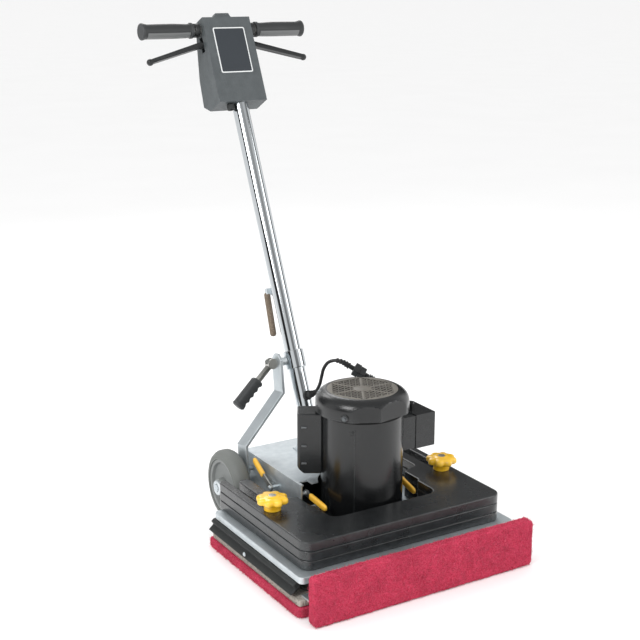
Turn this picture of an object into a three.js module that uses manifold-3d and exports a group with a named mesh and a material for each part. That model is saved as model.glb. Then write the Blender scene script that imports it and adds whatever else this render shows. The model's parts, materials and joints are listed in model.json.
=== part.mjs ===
// Rectangular orbital floor machine: a weighted deck on an oscillating pad head, with a
// tilting tube handle, transport wheels and a control box.  Millimetres, +Z up.
// The origin is the middle of the floor pad's underside; -Y is the front, +X the right.
import * as THREE from 'three';
import { mergeVertices } from 'three/addons/utils/BufferGeometryUtils.js';
import Module from 'manifold-3d';

const wasm = await Module();
wasm.setup();

// ---------------------------------------------------------------- driving dimensions
const gap = 0.3;                    // clearance between pieces that touch
const deg = Math.PI / 180;

const padLength = 508;              // floor pad, along X
const padWidth = 362;               // floor pad, along Y
const padThick = 20;
const padCorner = 12;

const driverInset = 6;              // pad driver's edge inside the pad's edge
const driverThick = 12;
const orbitRadius = 3.2;            // offset of the eccentric
const bearingRadius = 27;
const bearingHeight = 20;
const bearingFlange = 38;
const eccentricRadius = 14;

const frontPadLength = 496;
const frontPadHeight = 95;
const frontPadThick = 22;
const frontPadLift = 1;             // clear of the floor
const frontPadFace = 227;           // front face ahead of the middle
const frontPadCorner = 9;
const holderSheet = 4;

const deckLength = 488;
const deckWidth = 346;
const deckSheet = 4;
const deckLip = 13;
const deckRise = 38.4;              // free height between pad driver and deck
const deckCorner = 10;
const skirtDrop = 24;
const skirtFlare = 14;

const plateLength = 452;            // weight plates, along X
const plateFront = 158;             // front edge ahead of the middle
const plateRear = 186;              // outer arm ends behind the middle
const plateThick = 18.2;
const plateCount = 3;
const plateCorner = 25;
const slotX = 199.5;                 // knob stud and slot, left and right
const studY = 10;
const studRadius = 6;
const slotPlay = 3.5;               // slot edge to stud
const armInner = 165;               // inner edge of the arms
const wellHalf = 127;               // motor well, half width behind the step
const wellStep = 6;
const wellFront = 82;
const wellCorner = 20;

const knobRadius = 31.5;
const knobLobes = 8;
const knobHubRadius = 17.5;
const knobHubHeight = 13;
const knobDisc = 16;

const motorY = 5;
const motorRadius = 81;
const motorWall = 5;
const motorHeight = 214;            // body above its flange
const flangeRadius = 84;
const flangeThick = 14;
const fanCoverRadius = 92;
const fanCoverHeight = 41;
const fanCoverWall = 2.5;
const shaftRadius = 10;
const rotorRadius = 44;
const statorLength = 120;
const airGap = 1;

const chassisHalf = 120;            // half width over the side walls
const chassisTop = 152;
const chassisSheet = 3;
const chassisFront = 37;

const axleRadius = 8;
const wheelRadius = 76;
const wheelLift = 10;               // wheels clear of the floor at rest
const wheelClear = 5;               // deck to wheel
const armClear = 7;                 // the plates' inner arms to the wheels
const axleY = deckWidth / 2 + wheelRadius + wheelClear;
const axleZ = wheelRadius + wheelLift;
const plateRearInner = axleY - wheelRadius - armClear;
const chassisRear = axleY + 18;
const wheelWidth = 38;
const wheelInner = 147;             // inner face from the middle
const tyreThick = 18;
const tyreCrown = 10;               // shoulder to crown, across the tread
const hubBoss = 19;
const hubReach = 12;                // boss proud of the wheel's outer face

const lean = 24.2;                  // handle tube behind upright, degrees
const pivotY = 194.7;
const pivotZ = 170;
const pivotRadius = 6;
const tubeRadius = 17.5;
const tubeWall = 2.5;
const footWidth = 26;
const footRadius = 11;

const collarZ = 176.5;              // clamp collar's middle, along the tube
const collarLength = 37;
const collarWall = 4;
const strutY = axleY - 14;           // strut's lower pivot
const strutZ = axleZ + 34;
const strutLow = 138;               // strut's middle plane at its foot
const strutHigh = 42;               // and at the collar
const strutBar = 6;
const strutWidth = 38;
const strutKneeLow = 172;
const strutKneeHigh = 270;
const boltRadius = 5;
const spacerRadius = 9;

const camRadius = 11.5;
const camPin = 3;
const camDrop = 42;                 // lever below level, degrees
const camWidth = 18;
const camGripStart = 46;
const camGripEnd = 116;

const boxHalf = 57;                 // control box
const boxBottom = 742.5;            // along the tube from the pivot
const boxHeight = 190;
const boxTop = boxBottom + boxHeight;
const boxSeam = 2;
const boxWall = 3;
const boxFront = tubeRadius + boxWall + 0.5;
const barY = 2.5;                   // handlebar, in the handle's frame
const barZ = boxTop - 20.5;
const barRadius = 11;
const tubeTop = barZ - barRadius - 7;
const barHalf = 192;
const gripInner = 76;
const gripRadius = 15.5;
const gripFlange = 18;
const triggerX = 46;                // trigger pivots
const triggerY = 4.5;
const triggerZ = boxTop - 54;
const triggerEnd = { x: 186, z: triggerZ - 33.5 };
const buttonHalf = 22;
const buttonTravel = 4;

const latchRise = 28.8;             // rear latch levers above level, degrees
const rearLatch = { x: 137, y: 130, z: 118, length: 80 };
const frontLatch = { x: 105, y: 44, z: 131.5, length: 77 };
const frontLatchDrop = { left: 5.6, right: 14 };

// ---------------------------------------------------------------- finishes
function finish(color, roughness, metalness) {
  return new THREE.MeshStandardMaterial({ color, roughness, metalness });
}
const chrome = finish('#d9dcde', 0.12, 1);
const zinc = finish('#b9c2c6', 0.4, 0.9);
const steel = finish('#8d8f90', 0.35, 1);
const castIron = finish('#2a2b2c', 0.55, 0.3);
const motorPaint = finish('#1d1e1f', 0.35, 0.2);
const boxPlastic = finish('#5c6569', 0.65, 0);
const blackPlastic = finish('#26292a', 0.5, 0);
const yellowPlastic = finish('#f2bf2c', 0.3, 0);
const yellowVinyl = finish('#e9b93f', 0.4, 0);
const blackRubber = finish('#3a3c3c', 0.7, 0);
const greyRubber = finish('#6f7270', 0.75, 0);
const redFibre = finish('#c9374c', 0.95, 0);
const driverBoard = finish('#b7b2ab', 0.7, 0);
const hookSleeve = finish('#8b8178', 0.8, 0);

// ---------------------------------------------------------------- solids
function solidOf(geometry) {
  const bare = geometry.clone();
  bare.deleteAttribute('normal');
  bare.deleteAttribute('uv');
  const merged = mergeVertices(bare, 1e-3);
  const place = merged.attributes.position;
  const index = merged.index.array;
  const kept = [];
  let volume = 0;
  const [a, b, c] = [new THREE.Vector3(), new THREE.Vector3(), new THREE.Vector3()];
  for (let i = 0; i < index.length; i += 3) {
    const [p, q, r] = [index[i], index[i + 1], index[i + 2]];
    if (p === q || q === r || r === p) continue;
    a.fromBufferAttribute(place, p);
    b.fromBufferAttribute(place, q);
    c.fromBufferAttribute(place, r);
    volume += a.dot(b.cross(c));
    kept.push(p, q, r);
  }
  if (volume < 0) kept.reverse();
  const mesh = new wasm.Mesh({
    numProp: 3,
    vertProperties: new Float32Array(place.array),
    triVerts: new Uint32Array(kept),
  });
  return new wasm.Manifold(mesh);
}

function geometryOf(solid) {
  const mesh = solid.getMesh();
  const geometry = new THREE.BufferGeometry();
  geometry.setAttribute('position', new THREE.BufferAttribute(mesh.vertProperties, 3));
  geometry.setIndex(new THREE.BufferAttribute(mesh.triVerts, 1));
  geometry.computeVertexNormals();
  return geometry;
}

function block(x0, x1, y0, y1, z0, z1) {
  const geometry = new THREE.BoxGeometry(x1 - x0, y1 - y0, z1 - z0);
  geometry.translate((x0 + x1) / 2, (y0 + y1) / 2, (z0 + z1) / 2);
  return solidOf(geometry);
}

// A cylinder along one axis, from a to b, through the point (u, v) of the plane across it.
function rod(axis, radius, a, b, u, v, sides = 18) {
  const geometry = new THREE.CylinderGeometry(radius, radius, b - a, sides);
  const middle = (a + b) / 2;
  if (axis === 'x') {
    geometry.rotateZ(Math.PI / 2).translate(middle, u, v);
  } else if (axis === 'y') {
    geometry.translate(u, middle, v);
  } else {
    geometry.rotateX(Math.PI / 2).translate(u, v, middle);
  }
  return solidOf(geometry);
}

// A shape drawn in X and Y, from z0 up to z1.
function slab(shape, z0, z1, curveSegments = 2) {
  const geometry = new THREE.ExtrudeGeometry(shape, {
    depth: z1 - z0, bevelEnabled: false, curveSegments,
  });
  geometry.translate(0, 0, z0);
  return solidOf(geometry);
}

// An outline drawn in Y and Z, from x0 across to x1.
function acrossX(outline, x0, x1) {
  const shape = new THREE.Shape(outline.map(([y, z]) => new THREE.Vector2(y, z)));
  const geometry = new THREE.ExtrudeGeometry(shape, {
    depth: x1 - x0, bevelEnabled: false, curveSegments: 6,
  });
  geometry.rotateX(Math.PI / 2).rotateZ(Math.PI / 2).translate(x0, 0, 0);
  return solidOf(geometry);
}

// An outline drawn in X and Z, from y0 back to y1.
function acrossY(outline, y0, y1) {
  const shape = new THREE.Shape(outline.map(([x, z]) => new THREE.Vector2(x, z)));
  const geometry = new THREE.ExtrudeGeometry(shape, {
    depth: y1 - y0, bevelEnabled: false, curveSegments: 6,
  });
  geometry.rotateX(Math.PI / 2).translate(0, y1, 0);
  return solidOf(geometry);
}

// A closed outline of radius and height pairs, turned about Z.
function turned(outline, sides = 36) {
  const points = outline.map(([radius, z]) => new THREE.Vector2(radius, z));
  if (points[0].x > 0 || points.at(-1).x > 0) points.push(points[0].clone());
  return solidOf(new THREE.LatheGeometry(points, sides).rotateX(Math.PI / 2));
}

function tube(points, radius, steps, sides = 8) {
  const section = new THREE.Shape().absarc(0, 0, radius, 0, 2 * Math.PI);
  const route = new THREE.CatmullRomCurve3(points.map((p) => new THREE.Vector3(...p)));
  const geometry = new THREE.ExtrudeGeometry(section, {
    steps, bevelEnabled: false, extrudePath: route, curveSegments: sides / 2,
  });
  return solidOf(geometry);
}

function roundedRectangle(width, height, corner) {
  const [x, y] = [width / 2, height / 2];
  const shape = new THREE.Shape();
  shape.absarc(x - corner, y - corner, corner, 0, Math.PI / 2);
  shape.absarc(-x + corner, y - corner, corner, Math.PI / 2, Math.PI);
  shape.absarc(-x + corner, -y + corner, corner, Math.PI, 1.5 * Math.PI);
  shape.absarc(x - corner, -y + corner, corner, 1.5 * Math.PI, 2 * Math.PI);
  shape.closePath();
  return shape;
}

function join(...solids) {
  return solids.reduce((whole, piece) => whole.add(piece));
}

function cut(solid, ...tools) {
  return tools.reduce((whole, tool) => whole.subtract(tool), solid);
}

const roundSides = 40;              // facets round the motor
const machine = new THREE.Group();

function part(name, solid, look, parent = machine) {
  const mesh = new THREE.Mesh(geometryOf(solid), look);
  mesh.name = name;
  parent.add(mesh);
  return mesh;
}

const sides = [['left', -1], ['right', 1]];

function across(solid, side) {
  return side < 0 ? solid.mirror([1, 0, 0]) : solid;
}

// ---------------------------------------------------------------- pad head
const driverBottom = padThick + gap;
const driverTop = driverBottom + driverThick;
const bearingTop = driverTop + gap + bearingHeight;
const deckBottom = driverTop + deckRise;
const deckTop = deckBottom + deckSheet;
const driverLength = padLength - 2 * driverInset;
const driverWidth = padWidth - 2 * driverInset;

part('floor_pad', slab(roundedRectangle(padLength, padWidth, padCorner), 0, padThick), redFibre);

const driverSheet = slab(
  roundedRectangle(driverLength, driverWidth, padCorner - driverInset), driverBottom, driverTop);
part('pad_driver', driverSheet, driverBoard);

const bearingBore = rod('z', eccentricRadius + gap, driverTop, bearingTop + 1, 0, 0);
const bearing = join(
  rod('z', bearingRadius, driverTop + gap, bearingTop, 0, 0, 24),
  rod('z', bearingFlange, driverTop + gap, driverTop + gap + 6, 0, 0, 24));
part('driver_bearing', cut(bearing, bearingBore), steel).position.set(orbitRadius, motorY, 0);

const frontPadBack = frontPadFace - frontPadThick;
const frontPad = slab(
  roundedRectangle(frontPadLength, frontPadHeight, frontPadCorner), 0, frontPadThick, 4);
const frontPadMesh = part('front_pad', frontPad, redFibre);
frontPadMesh.rotation.x = Math.PI / 2;
frontPadMesh.position.set(0, -frontPadBack, frontPadLift + frontPadHeight / 2);

const holderLength = frontPadLength - 24;
const holderFront = -frontPadBack + gap;
const holderFoot = -driverWidth / 2 + 14;
const holder = join(
  block(-holderLength / 2, holderLength / 2, holderFront, holderFront + holderSheet,
    driverTop + gap, frontPadLift + frontPadHeight - 6),
  block(-holderLength / 2, holderLength / 2, holderFront, holderFoot,
    driverTop + gap, driverTop + gap + holderSheet));
part('front_pad_holder', holder, zinc);

// ---------------------------------------------------------------- deck
const shaftHole = rod('z', shaftRadius + 5, deckBottom - 30, deckTop + 40, 0, motorY);

const skirtTop = deckBottom - deckLip + deckSheet - gap;
const skirtIn = deckLength / 2 - 8;
const skirtProfile = [
  [skirtIn, skirtTop], [deckLength / 2 + 2, skirtTop], [deckLength / 2 + 8, skirtTop - 5],
  [deckLength / 2 + 3, skirtTop - 12], [deckLength / 2 + skirtFlare, skirtTop - skirtDrop + 2],
  [deckLength / 2 + skirtFlare - 4, skirtTop - skirtDrop], [deckLength / 2 - 2, skirtTop - 15],
  [skirtIn, skirtTop - 10],
];
for (const [side, sign] of sides) {
  const skirt = acrossY(skirtProfile, -deckWidth / 2 + 15, deckWidth / 2 - 1);
  part(`skirt_${side}`, across(skirt, sign), blackRubber);
}

const mountX = deckLength / 2 - 39;
const mountY = deckWidth / 2 - 38;
const mountLow = driverTop + gap;
const mountHigh = deckBottom - gap;
const mountProfile = [
  [0, mountLow], [17, mountLow], [17, mountLow + 4], [13, mountLow + 8], [11, (mountLow + mountHigh) / 2],
  [13, mountHigh - 8], [17, mountHigh - 4], [17, mountHigh], [0, mountHigh],
];
for (const [end, along] of [['front', -1], ['rear', 1]]) {
  for (const [side, sign] of sides) {
    const mount = part(`rubber_mount_${end}_${side}`, turned(mountProfile, 12), blackRubber);
    mount.position.set(sign * mountX, along * mountY, 0);
  }
}

// ---------------------------------------------------------------- weights
const slotHalf = studRadius + slotPlay;
const armEnd = 9;

// The right half of a weight plate's outline, from the front middle round to the well's front.
function plateHalf() {
  const edge = new THREE.Path();
  const half = plateLength / 2;
  const tip = plateRear - armEnd;
  const innerTip = plateRearInner - armEnd;
  edge.moveTo(0, -plateFront);
  edge.absarc(half - plateCorner, -plateFront + plateCorner, plateCorner, -Math.PI / 2, 0);
  edge.absarc(half - armEnd, tip, armEnd, 0, Math.PI / 2);
  edge.lineTo(slotX + slotHalf, plateRear);
  edge.absarc(slotX, studY, slotHalf, 0, Math.PI, true);
  edge.absarc(slotX - slotHalf - armEnd, innerTip, armEnd, 0, Math.PI / 2);
  edge.absarc(armInner + armEnd, innerTip, armEnd, Math.PI / 2, Math.PI);
  edge.lineTo(armInner, 60);
  edge.quadraticCurveTo(armInner - 4, 48, armInner - 18, 48);
  edge.lineTo(wellHalf, 38);
  edge.lineTo(wellHalf, -10);
  edge.lineTo(wellHalf - wellStep, -17);
  edge.absarc(wellHalf - wellStep - wellCorner, -wellFront + wellCorner, wellCorner,
    0, -Math.PI / 2, true);
  edge.lineTo(0, -wellFront);
  return edge.getPoints(3);
}

function plateShape() {
  const right = plateHalf();
  const left = right.map((p) => new THREE.Vector2(-p.x, p.y)).reverse();
  return new THREE.Shape([...right, ...left.slice(1, -1)]);
}

const platePitch = plateThick + gap;
const plateBase = deckTop + gap;
for (let i = 0; i < plateCount; i += 1) {
  const low = plateBase + i * platePitch;
  part(`weight_plate_${i + 1}`, slab(plateShape(), low, low + plateThick), castIron);
}

const stackTop = plateBase + plateCount * platePitch;
const knobTop = stackTop + knobHubHeight + knobDisc;
const studTop = knobTop - 4;
const studs = sides.map(([, sign]) => rod('z', studRadius, deckBottom, studTop, sign * slotX, studY));
const tray = cut(
  slab(roundedRectangle(deckLength, deckWidth, deckCorner), deckBottom - deckLip + deckSheet, deckTop),
  slab(roundedRectangle(deckLength - 2 * deckSheet, deckWidth - 2 * deckSheet,
    deckCorner - deckSheet), deckBottom - deckLip, deckBottom),
  shaftHole);
part('deck_tray', join(tray, ...studs), zinc);

const knobShape = new THREE.Shape();
const knobPoints = knobLobes * 4;
for (let i = 0; i < knobPoints; i += 1) {
  const turn = (i / knobPoints) * 2 * Math.PI;
  const radius = knobRadius - 3.2 + 3.2 * Math.cos(knobLobes * turn);
  const place = [radius * Math.cos(turn), radius * Math.sin(turn)];
  if (i === 0) knobShape.moveTo(...place);
  else knobShape.lineTo(...place);
}
knobShape.closePath();
const knobBore = rod('z', studRadius + gap, stackTop - 1, studTop + gap, 0, 0);
for (const [side, sign] of sides) {
  const knob = join(
    rod('z', knobHubRadius, stackTop + gap, stackTop + knobHubHeight + 1, 0, 0, 24),
    slab(knobShape, stackTop + knobHubHeight, knobTop));
  const mesh = part(`knob_${side}`, cut(knob, knobBore), yellowPlastic);
  mesh.position.set(sign * slotX, studY, 0);
}

// ---------------------------------------------------------------- motor
const motorBase = deckTop + gap;
const bodyTop = motorBase + flangeThick + motorHeight;
const coverLap = 3;
const coverLow = bodyTop - coverLap;
const coverTop = coverLow + fanCoverHeight;
const statorLow = motorBase + flangeThick + 50;
const motorOuter = [
  [shaftRadius + 2, motorBase], [flangeRadius, motorBase], [flangeRadius, motorBase + flangeThick],
  [motorRadius, motorBase + flangeThick + 3], [motorRadius, bodyTop], [shaftRadius + 2, bodyTop],
];
const motorInner = [
  [shaftRadius + 1, motorBase + flangeThick], [motorRadius - motorWall, motorBase + flangeThick],
  [motorRadius - motorWall, bodyTop - motorWall], [shaftRadius + 1, bodyTop - motorWall],
];
const motorShell = cut(turned(motorOuter, roundSides), turned(motorInner, roundSides));
part('motor_housing', motorShell, motorPaint).position.y = motorY;

const statorRing = [
  [rotorRadius + airGap, statorLow],
  [motorRadius - motorWall - gap, statorLow],
  [motorRadius - motorWall - gap, statorLow + statorLength],
  [rotorRadius + airGap, statorLow + statorLength],
];
part('stator', turned(statorRing), steel).position.y = motorY;

const coverShoulder = 24;
const coverBends = 3;
function coverProfile(radius, top) {
  const flat = radius - coverShoulder;
  return Array.from({ length: coverBends + 1 }, (_, i) => {
    const turn = (i / coverBends) * 90 * deg;
    return [flat + coverShoulder * Math.cos(turn), top - coverShoulder * (1 - Math.sin(turn))];
  });
}
const coverOutline = [
  [fanCoverRadius, coverLow], ...coverProfile(fanCoverRadius, coverTop), [0, coverTop],
  [0, coverTop - fanCoverWall],
  ...coverProfile(fanCoverRadius - fanCoverWall, coverTop - fanCoverWall).reverse(),
  [fanCoverRadius - fanCoverWall, coverLow],
];
part('fan_cover', turned(coverOutline, roundSides), motorPaint).position.y = motorY;

const fanLow = bodyTop + 6;
const fanRadius = fanCoverRadius - fanCoverWall - 10;
const shaftFoot = driverTop + 4;
const rotor = join(
  rod('z', shaftRadius - gap, bearingTop - 2, fanLow + 14, 0, 0),
  rod('z', rotorRadius, statorLow - 5, statorLow + statorLength + 5, 0, 0, 24),
  rod('z', fanRadius, fanLow, fanLow + 3, 0, 0, 24),
  rod('z', eccentricRadius, shaftFoot, bearingTop + 4, orbitRadius, 0),
  cut(rod('z', 46, bearingTop + 2, bearingTop + 12, 0, 0, 24),
    block(0, 60, -60, 60, bearingTop, bearingTop + 20)));
const blades = [];
const bladeCount = 6;
for (let i = 0; i < bladeCount; i += 1) {
  const blade = block(shaftRadius, fanRadius - 4, -1, 1, fanLow + 2, fanLow + 12);
  blades.push(blade.rotate([0, 0, (i * 360) / bladeCount]));
}
part('motor_rotor', join(rotor, ...blades), steel).position.y = motorY;

// Side boxes stand clear of the motor's body and of the fan cover.
const motorClear = join(
  rod('z', motorRadius + gap, motorBase, bodyTop, 0, motorY, roundSides),
  rod('z', fanCoverRadius + 2, coverLow - 2, coverTop + 10, 0, motorY, roundSides));
const capacitor = { inner: 60, outer: 127, rear: -28, front: 22, low: 172, high: 296 };
const capacitorTurn = 149.3;        // round the motor from +X
const capacitorBevel = 12;
const capacitorCorner = 5;
const capacitorSide = [
  [capacitor.inner, capacitor.low], [capacitor.outer - capacitorBevel, capacitor.low],
  [capacitor.outer, capacitor.low + capacitorBevel], [capacitor.outer, capacitor.high],
  [capacitor.inner, capacitor.high],
];
const capacitorPlan = roundedRectangle(
  2 * capacitor.outer, capacitor.front - capacitor.rear, capacitorCorner);
const capacitorBox = acrossY(capacitorSide, capacitor.rear, capacitor.front)
  .intersect(slab(capacitorPlan, capacitor.low, capacitor.high)
    .translate([0, (capacitor.front + capacitor.rear) / 2, 0]))
  .rotate([0, 0, capacitorTurn])
  .translate([0, motorY, 0]);
part('capacitor_cover', cut(capacitorBox, motorClear), motorPaint);

const terminal = { inner: 60, seam: 103, outer: 149, front: -31, rear: 42, low: 209, high: 276 };
const terminalBase = cut(
  block(terminal.inner, terminal.seam, terminal.front, terminal.rear, terminal.low, terminal.high),
  motorClear);
part('terminal_box', terminalBase, motorPaint);

// The lid carries its cable gland, an elbow that points behind the motor.
const lidLap = 1.5;
const leadRadius = 3.5;
const elbowX = 120;
const elbowY = 12;
const elbowTurn = 130;
const elbowReach = 16;
const elbowZ = terminal.high + lidLap + 7.5;
const elbow = join(
  rod('z', 7, terminal.high, elbowZ + 5, 0, 0, 20),
  rod('x', leadRadius + 1.5, 0, elbowReach, 0, elbowZ, 16)).rotate([0, 0, elbowTurn]);
part('terminal_lid', join(
  block(terminal.seam + gap, terminal.outer, terminal.front - lidLap,
    terminal.rear + lidLap, terminal.low - lidLap, terminal.high + lidLap),
  elbow.translate([elbowX, elbowY, 0])), motorPaint);

// ---------------------------------------------------------------- chassis, axle and wheels
const wallIn = chassisHalf - chassisSheet;
const wallLow = deckTop + gap;
const channel = cut(
  block(-chassisHalf, chassisHalf, chassisFront, chassisRear, wallLow, chassisTop),
  block(-wallIn, wallIn, chassisFront - 1, chassisRear + 1, wallLow - 1, chassisTop - chassisSheet),
  rod('z', motorRadius + 6, chassisTop - 20, chassisTop + 5, 0, motorY, roundSides),
  rod('x', axleRadius + gap, -chassisHalf - 5, chassisHalf + 5, axleY, axleZ));
const pinReach = 6;
const latchPin = 4;
let chassisSolid = channel;
for (const [, sign] of sides) {
  const rearPin = rod('x', latchPin, wallIn + 1, rearLatch.x + pinReach,
    rearLatch.y, rearLatch.z, 16);
  const frontPin = rod('x', latchPin, frontLatch.x - pinReach, wallIn + 1,
    frontLatch.y, frontLatch.z, 16);
  const notch = block(frontLatch.x - 9, frontLatch.x + 9, chassisFront - 1, frontLatch.y + 10,
    chassisTop - 5, chassisTop + 1);
  chassisSolid = join(cut(chassisSolid, across(notch, sign)),
    across(rearPin, sign), across(frontPin, sign));
}
const strutPin = rod('x', boltRadius, -strutLow - strutBar, -wallIn - 1, strutY, strutZ, 20);
chassisSolid = join(chassisSolid, strutPin);
part('chassis', chassisSolid, zinc);

const axleEnd = wheelInner + wheelWidth + hubReach + 2;
part('axle', rod('x', axleRadius, -axleEnd, axleEnd, axleY, axleZ), steel);

const rimRadius = wheelRadius - tyreThick;
const tyreHalf = [
  [rimRadius, 0], [rimRadius + 7, 1], [rimRadius + 13, 4], [wheelRadius, tyreCrown],
];
const tyreProfile = [
  ...tyreHalf, ...tyreHalf.map(([radius, z]) => [radius, wheelWidth - z]).reverse(),
];
const rimLip = 8;
const webDepth = 10;
const hubProfile = [
  [axleRadius + gap, 0], [hubBoss, 0], [hubBoss, webDepth], [rimRadius - rimLip, webDepth],
  [rimRadius - rimLip, 2], [rimRadius - gap, 2], [rimRadius - gap, wheelWidth - 2],
  [rimRadius - rimLip, wheelWidth - 2], [rimRadius - rimLip, wheelWidth - webDepth],
  [hubBoss, wheelWidth - webDepth], [hubBoss, wheelWidth + hubReach],
  [axleRadius + gap, wheelWidth + hubReach],
];
for (const [side, sign] of sides) {
  const wheel = new THREE.Group();
  wheel.position.set(sign * wheelInner, axleY, axleZ);
  wheel.rotation.y = sign * Math.PI / 2;
  machine.add(wheel);
  part(`tyre_${side}`, turned(tyreProfile), greyRubber, wheel);
  part(`wheel_hub_${side}`, turned(hubProfile, 24), castIron, wheel);
}

// ---------------------------------------------------------------- handle
const handle = new THREE.Group();
handle.position.set(0, pivotY, pivotZ);
handle.rotation.x = -lean * deg;
machine.add(handle);

const lugIn = footWidth / 2 + gap;
const lugThick = 6;
const bracketBase = chassisTop + gap;
const lugOutline = [
  [pivotY - 26, bracketBase], [pivotY + 26, bracketBase], [pivotY + 10, pivotZ + 9],
  [pivotY, pivotZ + 13], [pivotY - 10, pivotZ + 9],
];
const bracket = join(
  block(-lugIn - lugThick - 14, lugIn + lugThick + 14, pivotY - 26, pivotY + 26,
    bracketBase, bracketBase + 3),
  acrossX(lugOutline, lugIn, lugIn + lugThick),
  acrossX(lugOutline, -lugIn - lugThick, -lugIn));
part('pivot_bracket', cut(bracket,
  rod('x', pivotRadius + gap, -60, 60, pivotY, pivotZ)), zinc);
const pivotEnd = lugIn + lugThick + gap;
part('pivot_bolt', join(
  rod('x', pivotRadius, -pivotEnd - 4, pivotEnd + 4, pivotY, pivotZ),
  rod('x', pivotRadius + 4, -pivotEnd - 6, -pivotEnd, pivotY, pivotZ, 6),
  rod('x', pivotRadius + 4, pivotEnd, pivotEnd + 6, pivotY, pivotZ, 6)), steel);

const plugTop = 44;
const handleTube = join(
  cut(rod('z', tubeRadius, 15, tubeTop, 0, 0, 24),
    rod('z', tubeRadius - tubeWall, plugTop, tubeTop + 1, 0, 0, 24)),
  block(-footWidth / 2, footWidth / 2, -footRadius, footRadius, 0, 20),
  rod('x', footRadius, -footWidth / 2, footWidth / 2, 0, 0));
part('handle_tube', cut(handleTube, rod('x', pivotRadius + gap, -60, 60, 0, 0)), chrome, handle);

const reliefZ = 96;
const reliefEnd = tubeRadius + 22;
part('lead_grommet', join(
  rod('y', 10, -tubeRadius - 8, -tubeRadius - gap, 0, reliefZ, 20),
  rod('y', 7, -reliefEnd, -tubeRadius - 6, 0, reliefZ, 20)), blackRubber, handle);

const hookZ = 332;
const hookX = -13.5;
const hookHang = 3.5;               // degrees off the tube's line
const hookArm = 8;
const hookStand = 10;               // bracket between the tube and the hook
const hookDrop = 97;
const hookPin = 4;
const hookRadius = 6.8;
const hookNear = tubeRadius + 2 * gap + hookStand;
part('cord_hook_bracket', join(
  block(-6, 6, tubeRadius + gap, tubeRadius + gap + hookStand, hookZ - 11, hookZ + 11),
  rod('y', hookPin, tubeRadius + hookStand, hookNear + hookArm + 3, 0, hookZ, 16)), zinc, handle);
const hookMiddle = hookNear + hookRadius;
const hookBar = join(
  rod('z', hookRadius, hookZ - hookDrop, hookZ, hookX, hookMiddle, 16),
  block(hookX - 4, 8, hookNear, hookNear + hookArm, hookZ - 7, hookZ + 7));
const hook = cut(hookBar,
  rod('y', hookPin + gap, hookNear - 1, hookNear + hookArm + 1, 0, hookZ, 16));
part('cord_hook', hook.translate([0, 0, -hookZ]).rotate([0, hookHang, 0]).translate([0, 0, hookZ]),
  hookSleeve, handle);

const collarIn = tubeRadius + gap;
const collarOut = collarIn + collarWall;
const collar = cut(
  rod('z', collarOut, collarZ - collarLength / 2, collarZ + collarLength / 2, 0, 0, 24),
  rod('z', collarIn, collarZ - collarLength, collarZ + collarLength, 0, 0, 24));
part('collar', collar, chrome, handle);

// ---------------------------------------------------------------- strut and cam clamp
const topY = pivotY + collarZ * Math.sin(lean * deg);
const topZ = pivotZ + collarZ * Math.cos(lean * deg);
const strutLength = Math.hypot(topY - strutY, topZ - strutZ);
const strutLean = Math.atan2(topY - strutY, topZ - strutZ);
const strutTip = strutLength + strutWidth / 2;
const strutSide = [[-strutWidth / 2, strutTip - 12], [-strutWidth / 2 + 12, strutTip],
  [strutWidth / 2 - 12, strutTip], [strutWidth / 2, strutTip - 12]];

// The bar's bent section, half a bar either side of its middle line, seen from the front.
function strutSection() {
  const low = strutKneeLow - strutZ;
  const high = strutKneeHigh - strutZ;
  const half = strutBar / 2;
  const slope = Math.atan2(strutLow - strutHigh, high - low);
  const nudge = half * Math.tan(slope / 2);
  return [
    [strutLow - half, -strutWidth], [strutLow + half, -strutWidth], [strutLow + half, low + nudge],
    [strutHigh + half, high + nudge], [strutHigh + half, strutLength + strutWidth],
    [strutHigh - half, strutLength + strutWidth], [strutHigh - half, high - nudge],
    [strutLow - half, low - nudge],
  ];
}
const strutFace = [
  [-strutWidth / 2, -6], [-strutWidth / 2 + 5, -strutWidth / 2 + 5], [0, -strutWidth / 2],
  [strutWidth / 2 - 5, -strutWidth / 2 + 5], [strutWidth / 2, -6], ...strutSide.reverse(),
];
const yoke = new THREE.Group();
yoke.position.set(0, strutY, strutZ);
yoke.rotation.x = -strutLean;
machine.add(yoke);
const strutHole = boltRadius + gap;
const strutBlank = acrossY(strutSection(), -strutWidth / 2, strutWidth / 2)
  .intersect(acrossX(strutFace, 0, strutLow + strutBar));
const strut = cut(strutBlank, rod('x', strutHole, strutHigh - 20, strutHigh + 20, 0, strutLength),
  rod('x', strutHole, strutLow - 20, strutLow + 20, 0, 0));
part('strut', strut.mirror([1, 0, 0]), zinc, yoke);

const spacerIn = collarOut + 0.5;
const strutFaceIn = strutHigh - strutBar / 2 - gap;
const strutFaceOut = strutHigh + strutBar / 2 + gap;
const camOut = strutFaceOut + camRadius;
const eyeHalf = 4;
const eyeRadius = 7;
const boltInside = join(
  rod('x', spacerRadius, spacerIn, strutFaceIn, 0, strutLength),
  rod('x', boltRadius, strutFaceIn - 1, strutFaceOut, 0, strutLength));
const camBolt = cut(join(boltInside,
  rod('x', eyeHalf - gap, strutFaceOut - 1, camOut, 0, strutLength),
  rod('y', eyeRadius, -eyeHalf, eyeHalf, camOut, strutLength, 20)),
rod('y', camPin + gap, -eyeHalf - 1, eyeHalf + 1, camOut, strutLength, 16));
part('cam_bolt', camBolt.mirror([1, 0, 0]), steel, yoke);

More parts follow.
